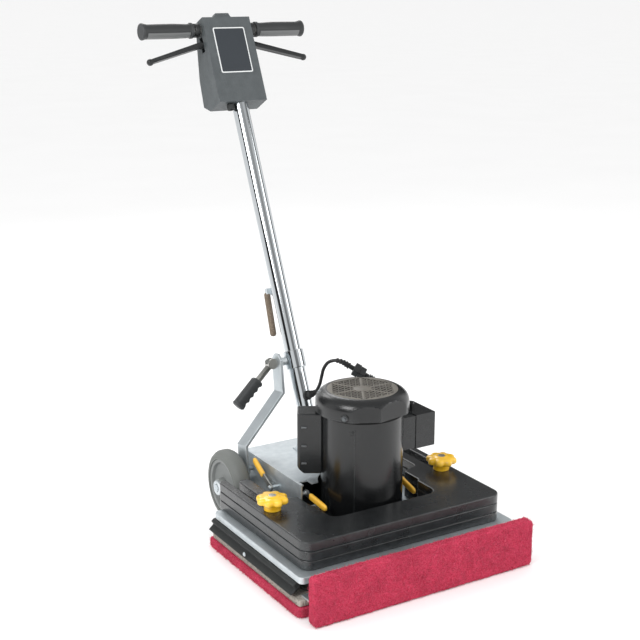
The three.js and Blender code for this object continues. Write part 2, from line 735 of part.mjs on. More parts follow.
const cam = new THREE.Group();
cam.position.set(-camOut, 0, strutLength);
cam.rotation.y = -camDrop * deg;
yoke.add(cam);
const shankHalf = 4;
const camLever = join(
  cut(rod('y', camRadius - gap, -camWidth / 2, camWidth / 2, 0, 0, 24),
    block(-eyeRadius - 1, camRadius + 1, -eyeHalf - gap, eyeHalf + gap, -camRadius - 1, camRadius + 1)),
  rod('y', camPin, -camWidth / 2, camWidth / 2, 0, 0, 16),
  block(-camGripStart, -eyeRadius - 1, -camWidth / 2 + 2, camWidth / 2 - 2, -shankHalf, shankHalf),
  block(-camGripEnd + 6, -camGripStart + 1, -shankHalf, shankHalf, -shankHalf, shankHalf));
part('cam_lever', camLever, steel, cam);
const camGrip = cut(
  join(rod('x', 11, -camGripEnd, -camGripStart - gap, 0, 0),
    rod('x', 13, -camGripEnd, -camGripEnd + 5, 0, 0)),
  block(-camGripEnd + 6 - gap, -camGripStart + 1, -shankHalf - gap, shankHalf + gap,
    -shankHalf - gap, shankHalf + gap));
part('cam_grip', camGrip, blackPlastic, cam);

// ---------------------------------------------------------------- control box
const boxOutline = [
  [-boxFront, boxBottom], [31, boxBottom - 3], [58, boxBottom + 15], [52, boxBottom + 73],
  [33, boxBottom + 136], [14, boxTop], [-boxFront, boxTop],
];

// The outline moved inwards by a wall, edge by edge.
function inset(outline, wall) {
  const edges = outline.map(([y, z], i) => {
    const [y2, z2] = outline[(i + 1) % outline.length];
    const length = Math.hypot(y2 - y, z2 - z);
    const [ny, nz] = [-(z2 - z) / length, (y2 - y) / length];
    return { ny, nz, reach: ny * y + nz * z + wall };
  });
  return edges.map((edge, i) => {
    const last = edges[(i + edges.length - 1) % edges.length];
    const cross = last.ny * edge.nz - last.nz * edge.ny;
    return [
      (last.reach * edge.nz - edge.reach * last.nz) / cross,
      (last.ny * edge.reach - edge.ny * last.reach) / cross,
    ];
  });
}

const boxCore = acrossX(inset(boxOutline, boxWall), -boxHalf + boxWall, boxHalf - boxWall);
const glandX = -tubeRadius - 8.5;
const glandY = -6;
const glandRadius = 6;
const buttonBack = 9;
const buttonFront = -7;
const boxHoles = join(
  rod('z', tubeRadius + gap, boxBottom - 10, boxBottom + 10, 0, 0, 24),
  rod('x', barRadius + gap, -boxHalf - 5, boxHalf + 5, barY, barZ),
  rod('z', glandRadius + gap, boxBottom - 10, boxBottom + 10, glandX, glandY, 20),
  block(-buttonHalf - gap, buttonHalf + gap, buttonFront - gap, buttonBack + gap,
    boxTop - 5, boxTop + 5),
  block(-boxHalf - 5, -boxHalf + 8, triggerY - 7, triggerY + 7, triggerZ - 16, triggerZ + 18),
  block(boxHalf - 8, boxHalf + 5, triggerY - 7, triggerY + 7, triggerZ - 16, triggerZ + 18));
const boxBody = cut(acrossX(boxOutline, -boxHalf, boxHalf), boxCore, boxHoles);
const frontHalf = block(-100, 100, -100, boxSeam, boxBottom - 50, boxTop + 50);
const rearHalf = block(-100, 100, boxSeam + gap, 150, boxBottom - 50, boxTop + 50);
const pinRadius = 3;
const pinLength = 34;
const triggerPins = sides.map(([, sign]) => rod('y', pinRadius, triggerY - 8, pinLength - boxWall,
  sign * triggerX, triggerZ, 16));
part('control_box_front', boxBody.intersect(frontHalf), boxPlastic, handle);
part('control_box_rear', join(boxBody.intersect(rearHalf), ...triggerPins), boxPlastic, handle);
const gland = join(
  rod('z', glandRadius, boxBottom - 14, boxBottom + 4, glandX, glandY, 20),
  rod('z', glandRadius + 2.4, boxBottom - 14, boxBottom - 2.6, glandX, glandY, 20));
part('power_cord_gland', cut(gland,
  rod('z', glandRadius - 2, boxBottom - 20, boxBottom + 10, glandX, glandY, 16)), blackRubber, handle);

const barTube = cut(rod('x', barRadius, -barHalf, barHalf, barY, barZ),
  rod('x', barRadius - 2, -barHalf - 1, barHalf + 1, barY, barZ));
part('handlebar', barTube, steel, handle);

const gripEnd = barHalf + 3;
const gripLength = gripEnd - gripInner;
const gripProfile = [
  [barRadius + gap, 0], [gripRadius, 0], [gripRadius, 6], [gripRadius - 1.5, 10],
  [gripRadius + 0.5, gripLength / 2], [gripRadius - 1.5, gripLength - 14],
  [gripFlange, gripLength - 9], [gripFlange, gripLength - 2], [gripFlange - 3, gripLength],
  [0, gripLength], [0, gripLength - 3 + gap], [barRadius + gap, gripLength - 3 + gap],
];
for (const [side, sign] of sides) {
  const grip = part(`hand_grip_${side}`, turned(gripProfile, 20), boxPlastic, handle);
  grip.position.set(sign * gripInner, barY, barZ);
  grip.rotation.y = sign * Math.PI / 2;
}

const leverHalf = 6;
const leverOutline = [
  [triggerX, triggerZ + 5], [triggerX + 20, triggerZ + 5], [triggerX + 28, triggerZ + 3],
  [triggerEnd.x, triggerEnd.z + 4.5], [triggerEnd.x, triggerEnd.z - 4.5],
  [triggerX + 26, triggerZ - 8], [triggerX + 18, triggerZ - 6], [triggerX, triggerZ - 6],
];
const leverBall = new THREE.SphereGeometry(7.5, 12, 8)
  .translate(triggerEnd.x, triggerY, triggerEnd.z);
const leverHub = 9;
const triggerLever = cut(
  join(acrossY(leverOutline, triggerY - leverHalf, triggerY + leverHalf),
    rod('y', leverHub, triggerY - leverHalf, triggerY + leverHalf, triggerX, triggerZ),
    solidOf(leverBall)),
  rod('y', pinRadius + gap, triggerY - leverHalf - 1, triggerY + leverHalf + 1, triggerX, triggerZ, 16));
for (const [side, sign] of sides) {
  part(`trigger_${side}`, across(triggerLever, sign), blackPlastic, handle);
}

const buttonLow = barZ + barRadius + buttonTravel + 1;
const buttonHigh = boxTop + 15;
const buttonOutline = [
  [-buttonHalf, buttonLow], [buttonHalf, buttonLow], [buttonHalf, boxTop + 2],
  [buttonHalf - 6, buttonHigh], [-buttonHalf + 6, buttonHigh], [-buttonHalf, boxTop + 2],
];
part('lockout_button', acrossY(buttonOutline, buttonFront, buttonBack), boxPlastic, handle);

// ---------------------------------------------------------------- latches
function latchLever(length) {
  const sleeve = 50;
  const lever = join(
    rod('x', 8, -5, 5, 0, 0, 20),
    block(-4, 4, 4, length - sleeve + 2, -3.5, 3.5),
    rod('y', 6.5, length - sleeve, length, 0, 0, 16));
  return cut(lever, rod('x', latchPin + gap, -6, 6, 0, 0, 16));
}
for (const [side, sign] of sides) {
  const rear = part(`latch_rear_${side}`, latchLever(rearLatch.length), yellowVinyl);
  rear.position.set(sign * rearLatch.x, rearLatch.y, rearLatch.z);
  rear.rotation.x = latchRise * deg;
  const front = part(`latch_front_${side}`, latchLever(frontLatch.length).mirror([0, 1, 0]), yellowVinyl);
  front.position.set(sign * frontLatch.x, frontLatch.y, frontLatch.z);
  front.rotation.x = frontLatchDrop[side] * deg;
}

// ---------------------------------------------------------------- motor lead
// The lead springs from the grommet over to an inline connector behind the motor, and a
// short tail runs on from the socket to the gland on the terminal box.
const leadRoute = [
  [0, 197.3, 274.1], [0.3, 192.8, 276.2], [4.2, 186.5, 282.6], [9.5, 181.5, 297], [11, 175.5, 317],
  [12.5, 169, 336], [18.5, 161, 349.5], [29.5, 150.5, 354.5], [41, 140, 351], [50.7, 131.9, 343.8],
];
part('motor_lead', tube(leadRoute, leadRadius, 26), blackRubber);

const plugFrom = new THREE.Vector3(51, 131.6, 343.6);
const plugTo = new THREE.Vector3(83, 108.6, 321.8);
const plugLine = plugTo.clone().sub(plugFrom);
const plugGroup = new THREE.Group();
plugGroup.position.copy(plugFrom);
plugGroup.quaternion.setFromUnitVectors(new THREE.Vector3(0, 0, 1), plugLine.clone().normalize());
machine.add(plugGroup);
const connectorHalf = plugLine.length() / 2;
const reliefLength = 10;
const shellHalf = { x: 9, y: 11 };
part('lead_plug', join(
  rod('z', leadRadius + 1.5, 0, reliefLength + 1, 0, 0, 16),
  block(-shellHalf.x, shellHalf.x, -shellHalf.y, shellHalf.y, reliefLength, connectorHalf)),
blackPlastic, plugGroup);
part('lead_socket', join(
  rod('z', leadRadius + 1.5, 2 * connectorHalf - reliefLength - 1, 2 * connectorHalf, 0, 0, 16),
  block(-shellHalf.x + 1, shellHalf.x - 1, -shellHalf.y + 1, shellHalf.y - 1,
    connectorHalf + gap, 2 * connectorHalf - reliefLength)), blackPlastic, plugGroup);

const tailRoute = [
  [109.5, 24.5, 285.3], [104, 31.2, 285.6], [99.5, 41, 288], [98, 54, 293.5], [98, 68, 300.5],
  [97.5, 81, 306.8], [95.3, 92.5, 312.3], [90.6, 102.6, 317.2], [83.7, 108.2, 321.5],
];
part('terminal_tail', tube(tailRoute, leadRadius, 16), blackRubber);

export default machine;
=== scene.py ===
"""Looks of the orbital floor machine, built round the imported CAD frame.  Metres, +Z up."""
import json
import math

import bmesh
import bpy
from mathutils import Matrix, Vector, noise

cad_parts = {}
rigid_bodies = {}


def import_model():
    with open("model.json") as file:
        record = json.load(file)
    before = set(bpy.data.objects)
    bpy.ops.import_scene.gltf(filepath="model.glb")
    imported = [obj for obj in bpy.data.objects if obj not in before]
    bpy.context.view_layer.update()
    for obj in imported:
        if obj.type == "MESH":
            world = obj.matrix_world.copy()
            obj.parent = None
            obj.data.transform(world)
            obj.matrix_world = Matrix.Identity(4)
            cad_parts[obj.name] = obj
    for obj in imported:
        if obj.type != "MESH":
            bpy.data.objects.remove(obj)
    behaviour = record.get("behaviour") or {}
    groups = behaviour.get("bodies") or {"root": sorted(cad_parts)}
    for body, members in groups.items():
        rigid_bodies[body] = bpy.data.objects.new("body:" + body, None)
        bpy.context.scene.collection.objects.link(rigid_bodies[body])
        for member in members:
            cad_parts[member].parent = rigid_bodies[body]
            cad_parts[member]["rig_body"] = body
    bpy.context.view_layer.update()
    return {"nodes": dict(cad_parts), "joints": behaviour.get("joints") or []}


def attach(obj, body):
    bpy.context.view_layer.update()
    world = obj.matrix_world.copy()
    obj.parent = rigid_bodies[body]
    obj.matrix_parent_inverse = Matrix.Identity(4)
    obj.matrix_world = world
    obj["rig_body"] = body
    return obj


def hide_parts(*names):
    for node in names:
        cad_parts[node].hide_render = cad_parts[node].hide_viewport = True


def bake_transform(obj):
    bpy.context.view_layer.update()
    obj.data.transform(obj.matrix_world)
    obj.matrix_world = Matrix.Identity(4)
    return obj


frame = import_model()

# ---------------------------------------------------------------- the frame's own places
MM = 0.001
REST = Matrix.Identity(4)
ACROSS = Vector((1, 0, 0))
SIDES = (("left", -1), ("right", 1))
joints = {joint["name"]: joint for joint in frame["joints"]}


def pivot(joint):
    return Vector(joints[joint]["pos_m"])


def axes_at(origin, x, y, z):
    place = Matrix((x, y, z)).transposed().to_4x4()
    place.translation = origin
    return place


def reach(node, place=REST):
    """Lowest and highest corner of a CAD node in the axes of a place."""
    back = place.inverted()
    points = [back @ v.co for v in frame["nodes"][node].data.vertices]
    return (Vector([min(p[i] for p in points) for i in range(3)]),
            Vector([max(p[i] for p in points) for i in range(3)]))


def middle(node, place=REST):
    low, high = reach(node, place)
    return (low + high) / 2


tube_line = Vector(joints["collar_slide"]["axis"])
HANDLE = axes_at(pivot("handle_tilt"), ACROSS, tube_line.cross(ACROSS), tube_line)
yoke_back = Vector(joints["cam_swing"]["axis"])
YOKE = axes_at(pivot("cam_swing"), ACROSS, yoke_back, ACROSS.cross(yoke_back))
grip_middle = middle("cam_grip", YOKE)
CAM = YOKE @ Matrix.Rotation(-math.atan2(-grip_middle.z, -grip_middle.x), 4, "Y")
MOTOR = Matrix.Translation(Vector((0, pivot("motor_spin").y, 0)))


# ---------------------------------------------------------------- shapes: (vertices, faces)
def revolve(profile, sides=72, closed=False):
    """A profile of (radius, height) pairs turned about Z; it meets the axis where radius is 0."""
    points, faces, rings = [], [], []
    for radius, height in profile:
        count = sides if radius > 1e-6 else 1
        rings.append([len(points) + i for i in range(count)])
        points += [Vector((radius * math.cos(math.tau * i / sides),
                           radius * math.sin(math.tau * i / sides), height)) for i in range(count)]
    pairs = list(zip(rings, rings[1:] + rings[:1]))
    for low, high in pairs if closed else pairs[:-1]:
        for i in range(sides):
            j = (i + 1) % sides
            corners = (low[i % len(low)], low[j % len(low)], high[j % len(high)], high[i % len(high)])
            face = list(dict.fromkeys(corners))
            if len(face) > 2:
                faces.append(face)
    return points, faces


def loft(rings):
    """Skins equal rings of points, with a flat face at each end."""
    count = len(rings[0])
    points = [Vector(p) for ring in rings for p in ring]
    faces = [list(range(count))[::-1], [len(points) - count + i for i in range(count)]]
    for k in range(len(rings) - 1):
        for i in range(count):
            j = (i + 1) % count
            faces.append([k * count + i, k * count + j, (k + 1) * count + j, (k + 1) * count + i])
    return points, faces


def box(low, high):
    corners = [(low[0], low[1]), (high[0], low[1]), (high[0], high[1]), (low[0], high[1])]
    return loft([[(x, y, z) for x, y in corners] for z in (low[2], high[2])])


def joined(*shapes):
    points, faces = [], []
    for shape_points, shape_faces in shapes:
        faces += [[i + len(points) for i in face] for face in shape_faces]
        points += shape_points
    return points, faces


def turned_to(axis, origin=(0, 0, 0)):
    """Places a shape so that its own Z lies along an axis."""
    return Matrix.Translation(origin) @ Vector(axis).to_track_quat("Z", "Y").to_matrix().to_4x4()


def rounded(width, depth, corner, steps=6):
    """Points round a rectangle with round corners, centred."""
    outline = []
    for k, (sx, sy) in enumerate(((1, 1), (-1, 1), (-1, -1), (1, -1))):
        for i in range(steps + 1):
            turn = math.radians(90 * (k + i / steps))
            outline.append((sx * (width / 2 - corner) + corner * math.cos(turn),
                            sy * (depth / 2 - corner) + corner * math.sin(turn)))
    return outline


def capsule(radius, low, high, edge):
    """A rod along Z with rounded ends."""
    bends = [(radius - edge + edge * math.sin(math.radians(a)), edge * (1 - math.cos(math.radians(a))))
             for a in (0, 30, 60, 90)]
    return ([(0, low)] + [(r, low + h) for r, h in bends]
            + [(r, high - h) for r, h in reversed(bends)] + [(0, high)])


def hex_bolt(radius, head, washer):
    """A hexagon head on its washer, standing on Z = 0."""
    six = [(radius * math.cos(math.tau * i / 6), radius * math.sin(math.tau * i / 6)) for i in range(6)]
    shrunk = [(0.86 * x, 0.86 * y) for x, y in six]
    bolt = loft([[(x, y, 1.2 * MM) for x, y in six], [(x, y, head - MM) for x, y in six],
                 [(x, y, head) for x, y in shrunk]])
    return joined(bolt, revolve([(0, 0), (washer, 0), (washer, MM), (washer - 0.4 * MM, 1.4 * MM),
                                 (0, 1.4 * MM)], 32))


# ---------------------------------------------------------------- pieces
def in_scene(name, data):
    thing = bpy.data.objects.new(name, data)
    bpy.context.scene.collection.objects.link(thing)
    return thing


def made_plain(carrier):
    """The mesh that a carrier's modifier makes; the carrier goes."""
    evaluated = carrier.evaluated_get(bpy.context.evaluated_depsgraph_get())
    mesh = bpy.data.meshes.new_from_object(evaluated)
    bpy.data.objects.remove(carrier)
    return mesh


def finish_mesh(mesh, sharp):
    bm = bmesh.new()
    bm.from_mesh(mesh)
    bmesh.ops.remove_doubles(bm, verts=bm.verts, dist=1e-6)
    bmesh.ops.recalc_face_normals(bm, faces=bm.faces)
    bm.to_mesh(mesh)
    bm.free()
    mesh.polygons.foreach_set("use_smooth", [True] * len(mesh.polygons))
    mesh.set_sharp_from_angle(angle=math.radians(sharp))


def show(name, mesh, look, node, stands=True, bevel=0.0, segments=3, rides=True):
    """Shows a mesh as a piece that rides with a CAD node, and hides the node when it stands for it."""
    thing = in_scene(name, mesh)
    mesh.materials.clear()
    mesh.materials.append(look)
    if bevel:
        edge = thing.modifiers.new("round_edges", "BEVEL")
        edge.width = bevel
        edge.segments = segments
        edge.limit_method = "ANGLE"
        edge.angle_limit = math.radians(32)
        edge.miter_outer = "MITER_ARC"
        edge.harden_normals = False
    if rides:
        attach(thing, frame["nodes"][node]["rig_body"])
    if stands:
        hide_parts(node)
    return thing


def piece(name, shape, look, node, place=REST, stands=True, bevel=0.0, segments=3, sharp=40, rides=True):
    mesh = bpy.data.meshes.new(name)
    mesh.from_pydata([tuple(place @ p) for p in shape[0]], [], shape[1])
    finish_mesh(mesh, sharp)
    return show(name, mesh, look, node, stands, bevel, segments, rides)


def detail(name, shape, look, node, place=REST, **finish):
    """A piece that rides with a CAD node but stands for none."""
    return piece(name, shape, look, node, place, stands=False, **finish)


def softened(node, look, bevel, segments=3, sharp=40):
    """A CAD node's shape with its flat faces merged and its edges rounded."""
    mesh = frame["nodes"][node].data.copy()
    mesh.name = f"{node}_shape"
    bm = bmesh.new()
    bm.from_mesh(mesh)
    bmesh.ops.remove_doubles(bm, verts=bm.verts, dist=2e-5)
    bmesh.ops.dissolve_limit(bm, angle_limit=math.radians(0.6), verts=bm.verts, edges=bm.edges)
    bm.to_mesh(mesh)
    bm.free()
    finish_mesh(mesh, sharp)
    return show(f"{node}_skin", mesh, look, node, True, bevel, segments)


# ---------------------------------------------------------------- Geometry Nodes
def new_tree(name, sizes):
    """A Geometry Nodes tree with a mesh in, a mesh out and named sizes."""
    tree = bpy.data.node_groups.new(name, "GeometryNodeTree")
    tree.interface.new_socket("Geometry", in_out="INPUT", socket_type="NodeSocketGeometry")
    for label, kind in sizes:
        tree.interface.new_socket(label, in_out="INPUT", socket_type=f"NodeSocket{kind}")
    tree.interface.new_socket("Geometry", in_out="OUTPUT", socket_type="NodeSocketGeometry")
    return tree, tree.nodes.new("NodeGroupInput").outputs


def link_node(tree, kind, settings=None, **wires):
    """Adds a node; a wire is a socket to link or a value to set, keyed by the input's name."""
    made = tree.nodes.new(kind)
    for key, value in (settings or {}).items():
        setattr(made, key, value)
    for key, value in wires.items():
        socket = made.inputs[int(key[1:]) if key[0] == "n" and key[1:].isdigit() else key.replace("_", " ")]
        if isinstance(value, bpy.types.NodeSocket):
            tree.links.new(value, socket)
        else:
            socket.default_value = value
    return made


def end_tree(tree, instances, material):
    real = link_node(tree, "GeometryNodeRealizeInstances", Geometry=instances)
    dressed = link_node(tree, "GeometryNodeSetMaterial", Geometry=real.outputs[0], Material=material)
    tree.links.new(dressed.outputs[0], tree.nodes.new("NodeGroupOutput").inputs[0])
    return tree


def fuzz_tree():
    """Short bent fibres scattered over a surface, lying every way."""
    tree, given = new_tree("fibre_fuzz", (("Density", "Float"), ("Length", "Float"), ("Thickness", "Float"),
                                          ("Seed", "Int"), ("Fibre", "Material")))
    scatter = link_node(tree, "GeometryNodeDistributePointsOnFaces", Mesh=given["Geometry"],
                        Density=given["Density"], Seed=given["Seed"])
    half = link_node(tree, "ShaderNodeMath", {"operation": "MULTIPLY"}, n0=given["Length"], n1=0.5)
    bow = link_node(tree, "ShaderNodeMath", {"operation": "MULTIPLY"}, n0=given["Length"], n1=0.22)
    back = link_node(tree, "ShaderNodeMath", {"operation": "MULTIPLY"}, n0=half.outputs[0], n1=-1.0)
    start = link_node(tree, "ShaderNodeCombineXYZ", X=back.outputs[0])
    top = link_node(tree, "ShaderNodeCombineXYZ", Z=bow.outputs[0])
    end = link_node(tree, "ShaderNodeCombineXYZ", X=half.outputs[0])
    arc = link_node(tree, "GeometryNodeCurveQuadraticBezier", Resolution=2, Start=start.outputs[0],
                    Middle=top.outputs[0], End=end.outputs[0])
    ring = link_node(tree, "GeometryNodeCurvePrimitiveCircle", Resolution=3, Radius=given["Thickness"])
    fibre = link_node(tree, "GeometryNodeCurveToMesh", Curve=arc.outputs[0],
                      Profile_Curve=ring.outputs[0])
    turn = link_node(tree, "FunctionNodeRandomValue", {"data_type": "FLOAT_VECTOR"},
                     n0=(0.0, 0.0, 0.0), n1=(math.tau,) * 3, Seed=given["Seed"])
    spin = link_node(tree, "FunctionNodeEulerToRotation", Euler=turn.outputs[0])
    size = link_node(tree, "FunctionNodeRandomValue", {"data_type": "FLOAT"}, n2=0.6, n3=1.25,
                     Seed=given["Seed"])
    spread = link_node(tree, "GeometryNodeInstanceOnPoints", Points=scatter.outputs[0],
                       Instance=fibre.outputs[0], Rotation=spin.outputs[0], Scale=size.outputs[1])
    return end_tree(tree, spread.outputs[0], given["Fibre"])


def rib_tree():
    """Upright round ribs in a row along the edges of a path."""
    tree, given = new_tree("ribs_on_path", (("Pitch", "Float"), ("Radius", "Float"), ("Height", "Float"),
                                            ("Rib", "Material")))
    path = link_node(tree, "GeometryNodeMeshToCurve", Mesh=given["Geometry"])
    even = link_node(tree, "GeometryNodeResampleCurve", {"mode": "LENGTH"}, Curve=path.outputs[0],
                     Length=given["Pitch"])
    rib = link_node(tree, "GeometryNodeMeshCylinder", {"fill_type": "NGON"}, Vertices=8,
                    Radius=given["Radius"], Depth=given["Height"])
    row = link_node(tree, "GeometryNodeInstanceOnPoints", Points=even.outputs[0],
                    Instance=rib.outputs[0])
    return end_tree(tree, row.outputs[0], given["Rib"])


def grown(name, tree, host, sizes, node):
    """Runs a tree on a host mesh and shows what it makes as one plain mesh."""
    carrier = in_scene(f"{name}_host", host)
    modifier = carrier.modifiers.new("grow", "NODES")
    modifier.node_group = tree
    for item in tree.interface.items_tree:
        if item.item_type == "SOCKET" and item.in_out == "INPUT" and item.name in sizes:
            modifier[item.identifier] = sizes[item.name]
    mesh = made_plain(carrier)
    look = next(m for m in mesh.materials if m)
    mesh.polygons.foreach_set("material_index", [0] * len(mesh.polygons))
    mesh.polygons.foreach_set("use_smooth", [True] * len(mesh.polygons))
    return show(name, mesh, look, node, stands=False)


# ---------------------------------------------------------------- shared effects
def effect(name, inputs, outputs):
    """A shader node group with named inputs and outputs."""
    tree = bpy.data.node_groups.new(name, "ShaderNodeTree")
    for label, kind, value in inputs:
        socket = tree.interface.new_socket(label, in_out="INPUT", socket_type=f"NodeSocket{kind}")
        socket.default_value = value
    for label, kind in outputs:
        tree.interface.new_socket(label, in_out="OUTPUT", socket_type=f"NodeSocket{kind}")
    return tree, tree.nodes.new("NodeGroupInput").outputs, tree.nodes.new("NodeGroupOutput").inputs


def own_place(tree):
    return tree.nodes.new("ShaderNodeTexCoord").outputs["Object"]


def math_node(tree, operation, first, second=0.0, third=0.0, clamp=False):
    return link_node(tree, "ShaderNodeMath", {"operation": operation, "use_clamp": clamp},
                     n0=first, n1=second, n2=third).outputs[0]


def blend_colour(tree, factor, first, second, how="MIX"):
    node = link_node(tree, "ShaderNodeMix", {"data_type": "RGBA", "blend_type": how},
                     n0=factor, n6=first, n7=second)
    return node.outputs[2]


MID_GREY = (0.5, 0.5, 0.5, 1)


def edge_wear_and_highlight_effect():
    """Brighter in patches along outer edges: wear, and a painted highlight on the edges."""
    tree, given, put = effect("edge_wear_and_highlight", (("Colour", "Color", MID_GREY), ("Worn", "Color", (1, 1, 1, 1)),
                                            ("Amount", "Float", 0.5), ("Spread", "Float", 0.06)),
                              (("Colour", "Color"),))
    shape = tree.nodes.new("ShaderNodeNewGeometry").outputs["Pointiness"]
    low = math_node(tree, "SUBTRACT", shape, 0.5)
    ramp = math_node(tree, "DIVIDE", low, given["Spread"], clamp=True)
    where = own_place(tree)
    patches = link_node(tree, "ShaderNodeTexNoise", Vector=where, Scale=60.0, Detail=4.0)
    broken = math_node(tree, "MULTIPLY", ramp, patches.outputs[0], clamp=True)
    mask = math_node(tree, "MULTIPLY", broken, given["Amount"], clamp=True)
    tree.links.new(blend_colour(tree, mask, given["Colour"], given["Worn"]), put["Colour"])
    return tree


def mottle_effect():
    """A colour that drifts a little over the surface, with a roughness that drifts with it."""
    tree, given, put = effect("mottle", (("Colour", "Color", MID_GREY), ("Scale", "Float", 12.0),
                                         ("Amount", "Float", 0.15), ("Roughness", "Float", 0.5)),
                              (("Colour", "Color"), ("Roughness", "Float")))
    where = own_place(tree)
    wide = link_node(tree, "ShaderNodeTexNoise", Vector=where, Scale=given["Scale"], Detail=5.0)
    drift = math_node(tree, "SUBTRACT", wide.outputs[0], 0.5)
    step = math_node(tree, "MULTIPLY", drift, given["Amount"])
    gain = math_node(tree, "MULTIPLY_ADD", step, 2.0, 1.0)
    grey = link_node(tree, "ShaderNodeCombineColor", Red=gain, Green=gain, Blue=gain)
    tree.links.new(blend_colour(tree, 1.0, given["Colour"], grey.outputs[0], "MULTIPLY"), put["Colour"])
    tree.links.new(math_node(tree, "ADD", given["Roughness"], step, clamp=True), put["Roughness"])
    return tree


def grain_effect():
    """Fine pebbles, as on powder coat and moulded plastic."""
    tree, given, put = effect("pebble_grain", (("Scale", "Float", 900.0), ("Depth", "Float", 0.3)),
                              (("Height", "Float"),))
    where = own_place(tree)
    pebble = link_node(tree, "ShaderNodeTexNoise", Vector=where, Scale=given["Scale"], Detail=2.0)
    wide = link_node(tree, "ShaderNodeTexVoronoi", {"feature": "SMOOTH_F1"}, Vector=where,
                     Scale=given["Scale"])
    both = math_node(tree, "ADD", pebble.outputs[0], wide.outputs[0])
    tree.links.new(math_node(tree, "MULTIPLY", both, given["Depth"]), put["Height"])
    return tree


def brushed_effect():
    """Drawn streaks along one direction of the metal."""
    tree, given, put = effect("brushed_lines", (("Stretch", "Vector", (4, 400, 400)),
                                                ("Depth", "Float", 0.2)),
                              (("Height", "Float"), ("Shade", "Float")))
    where = own_place(tree)
    along = link_node(tree, "ShaderNodeMapping", Vector=where, Scale=given["Stretch"])
    streak = link_node(tree, "ShaderNodeTexNoise", Vector=along.outputs[0], Scale=1.0, Detail=4.0)
    tree.links.new(math_node(tree, "MULTIPLY", streak.outputs[0], given["Depth"]), put["Height"])
    tree.links.new(streak.outputs[0], put["Shade"])
    return tree


# Lighter outer edges: partly wear, partly a painted highlight along the edges.
EDGE_WEAR_AND_HIGHLIGHT = edge_wear_and_highlight_effect()
MOTTLE = mottle_effect()
GRAIN = grain_effect()
BRUSHED = brushed_effect()


# ---------------------------------------------------------------- materials
def colour(text):
    """A screen colour as the light values that Blender mixes."""
    parts = [int(text[i:i + 2], 16) / 255 for i in (1, 3, 5)]
    return (*[c / 12.92 if c <= 0.04045 else ((c + 0.055) / 1.055) ** 2.4 for c in parts], 1)


def material(name, **values):
    made = bpy.data.materials.new(name)
    made.use_nodes = True
    tree = made.node_tree
    tree.nodes.clear()
    shader = link_node(tree, "ShaderNodeBsdfPrincipled", **values)
    out = tree.nodes.new("ShaderNodeOutputMaterial")
    tree.links.new(shader.outputs[0], out.inputs[0])
    return made, tree, shader


def place(tree, group, **wires):
    return link_node(tree, "ShaderNodeGroup", {"node_tree": group}, **wires)


def bump(tree, shader, height, strength, distance=0.001):
    made = link_node(tree, "ShaderNodeBump", Strength=strength, Distance=distance, Height=height)
    tree.links.new(made.outputs[0], shader.inputs["Normal"])


def dress(tree, shader, shade, roughness):
    tree.links.new(shade, shader.inputs["Base Color"])
    tree.links.new(roughness, shader.inputs["Roughness"])


def plain_finish(name, base, roughness, drift=0.12, patches=14.0, grain=(900.0, 0.3), strength=0.25,
                 worn=None, wear_and_highlight_amount=0.5, **values):
    """A mottled, grained finish with optional lighter edges, partly wear and partly a painted edge highlight:
    most painted and moulded parts.
    """
    made, tree, shader = material(name, **values)
    mottled = place(tree, MOTTLE, Colour=colour(base), Scale=patches, Amount=drift, Roughness=roughness)
    shade = mottled.outputs["Colour"]
    if worn:
        shade = place(tree, EDGE_WEAR_AND_HIGHLIGHT, Colour=shade, Worn=colour(worn), Amount=wear_and_highlight_amount,
                      Spread=0.08).outputs["Colour"]
    dress(tree, shader, shade, mottled.outputs["Roughness"])
    bump(tree, shader, place(tree, GRAIN, Scale=grain[0], Depth=grain[1]).outputs["Height"], strength)
    return made


def metal_finish(name, base, roughness, stretch=(6, 500, 500), worn="#eef2f4", shade=0.25, strength=0.12,
                 wear_and_highlight_amount=0.9, streaks=0.12, **values):
    made, tree, shader = material(name, Metallic=1.0, **values)
    lines = place(tree, BRUSHED, Stretch=stretch, Depth=1.0)
    mottled = place(tree, MOTTLE, Colour=colour(base), Scale=9.0, Amount=shade, Roughness=roughness)
    # Lighter edges on the metal: partly wear, partly a painted edge highlight.
    edged = place(tree, EDGE_WEAR_AND_HIGHLIGHT, Colour=mottled.outputs["Colour"], Worn=colour(worn), Amount=wear_and_highlight_amount,
                  Spread=0.05)
    streak = math_node(tree, "MULTIPLY_ADD", lines.outputs["Shade"], streaks, mottled.outputs["Roughness"])
    dress(tree, shader, edged.outputs["Colour"], math_node(tree, "SUBTRACT", streak, streaks / 2, clamp=True))
    bump(tree, shader, lines.outputs["Height"], strength)
    return made


def speckled_finish(name, base, fleck, roughness, scale=300.0):
    """A cut sleeve with light and dark flecks."""
    made, tree, shader = material(name)
    where = own_place(tree)
    flecks = link_node(tree, "ShaderNodeTexVoronoi", Vector=where, Scale=scale)
    mask = link_node(tree, "ShaderNodeValToRGB", Fac=flecks.outputs[0])
    mask.color_ramp.elements[0].position = 0.18
    mask.color_ramp.elements[1].position = 0.42
    mottled = place(tree, MOTTLE, Colour=colour(base), Scale=60.0, Amount=0.45, Roughness=roughness)
    dress(tree, shader, blend_colour(tree, mask.outputs[0], colour(fleck), mottled.outputs["Colour"]),
          mottled.outputs["Roughness"])
    bump(tree, shader, flecks.outputs[0], 0.5)
    return made


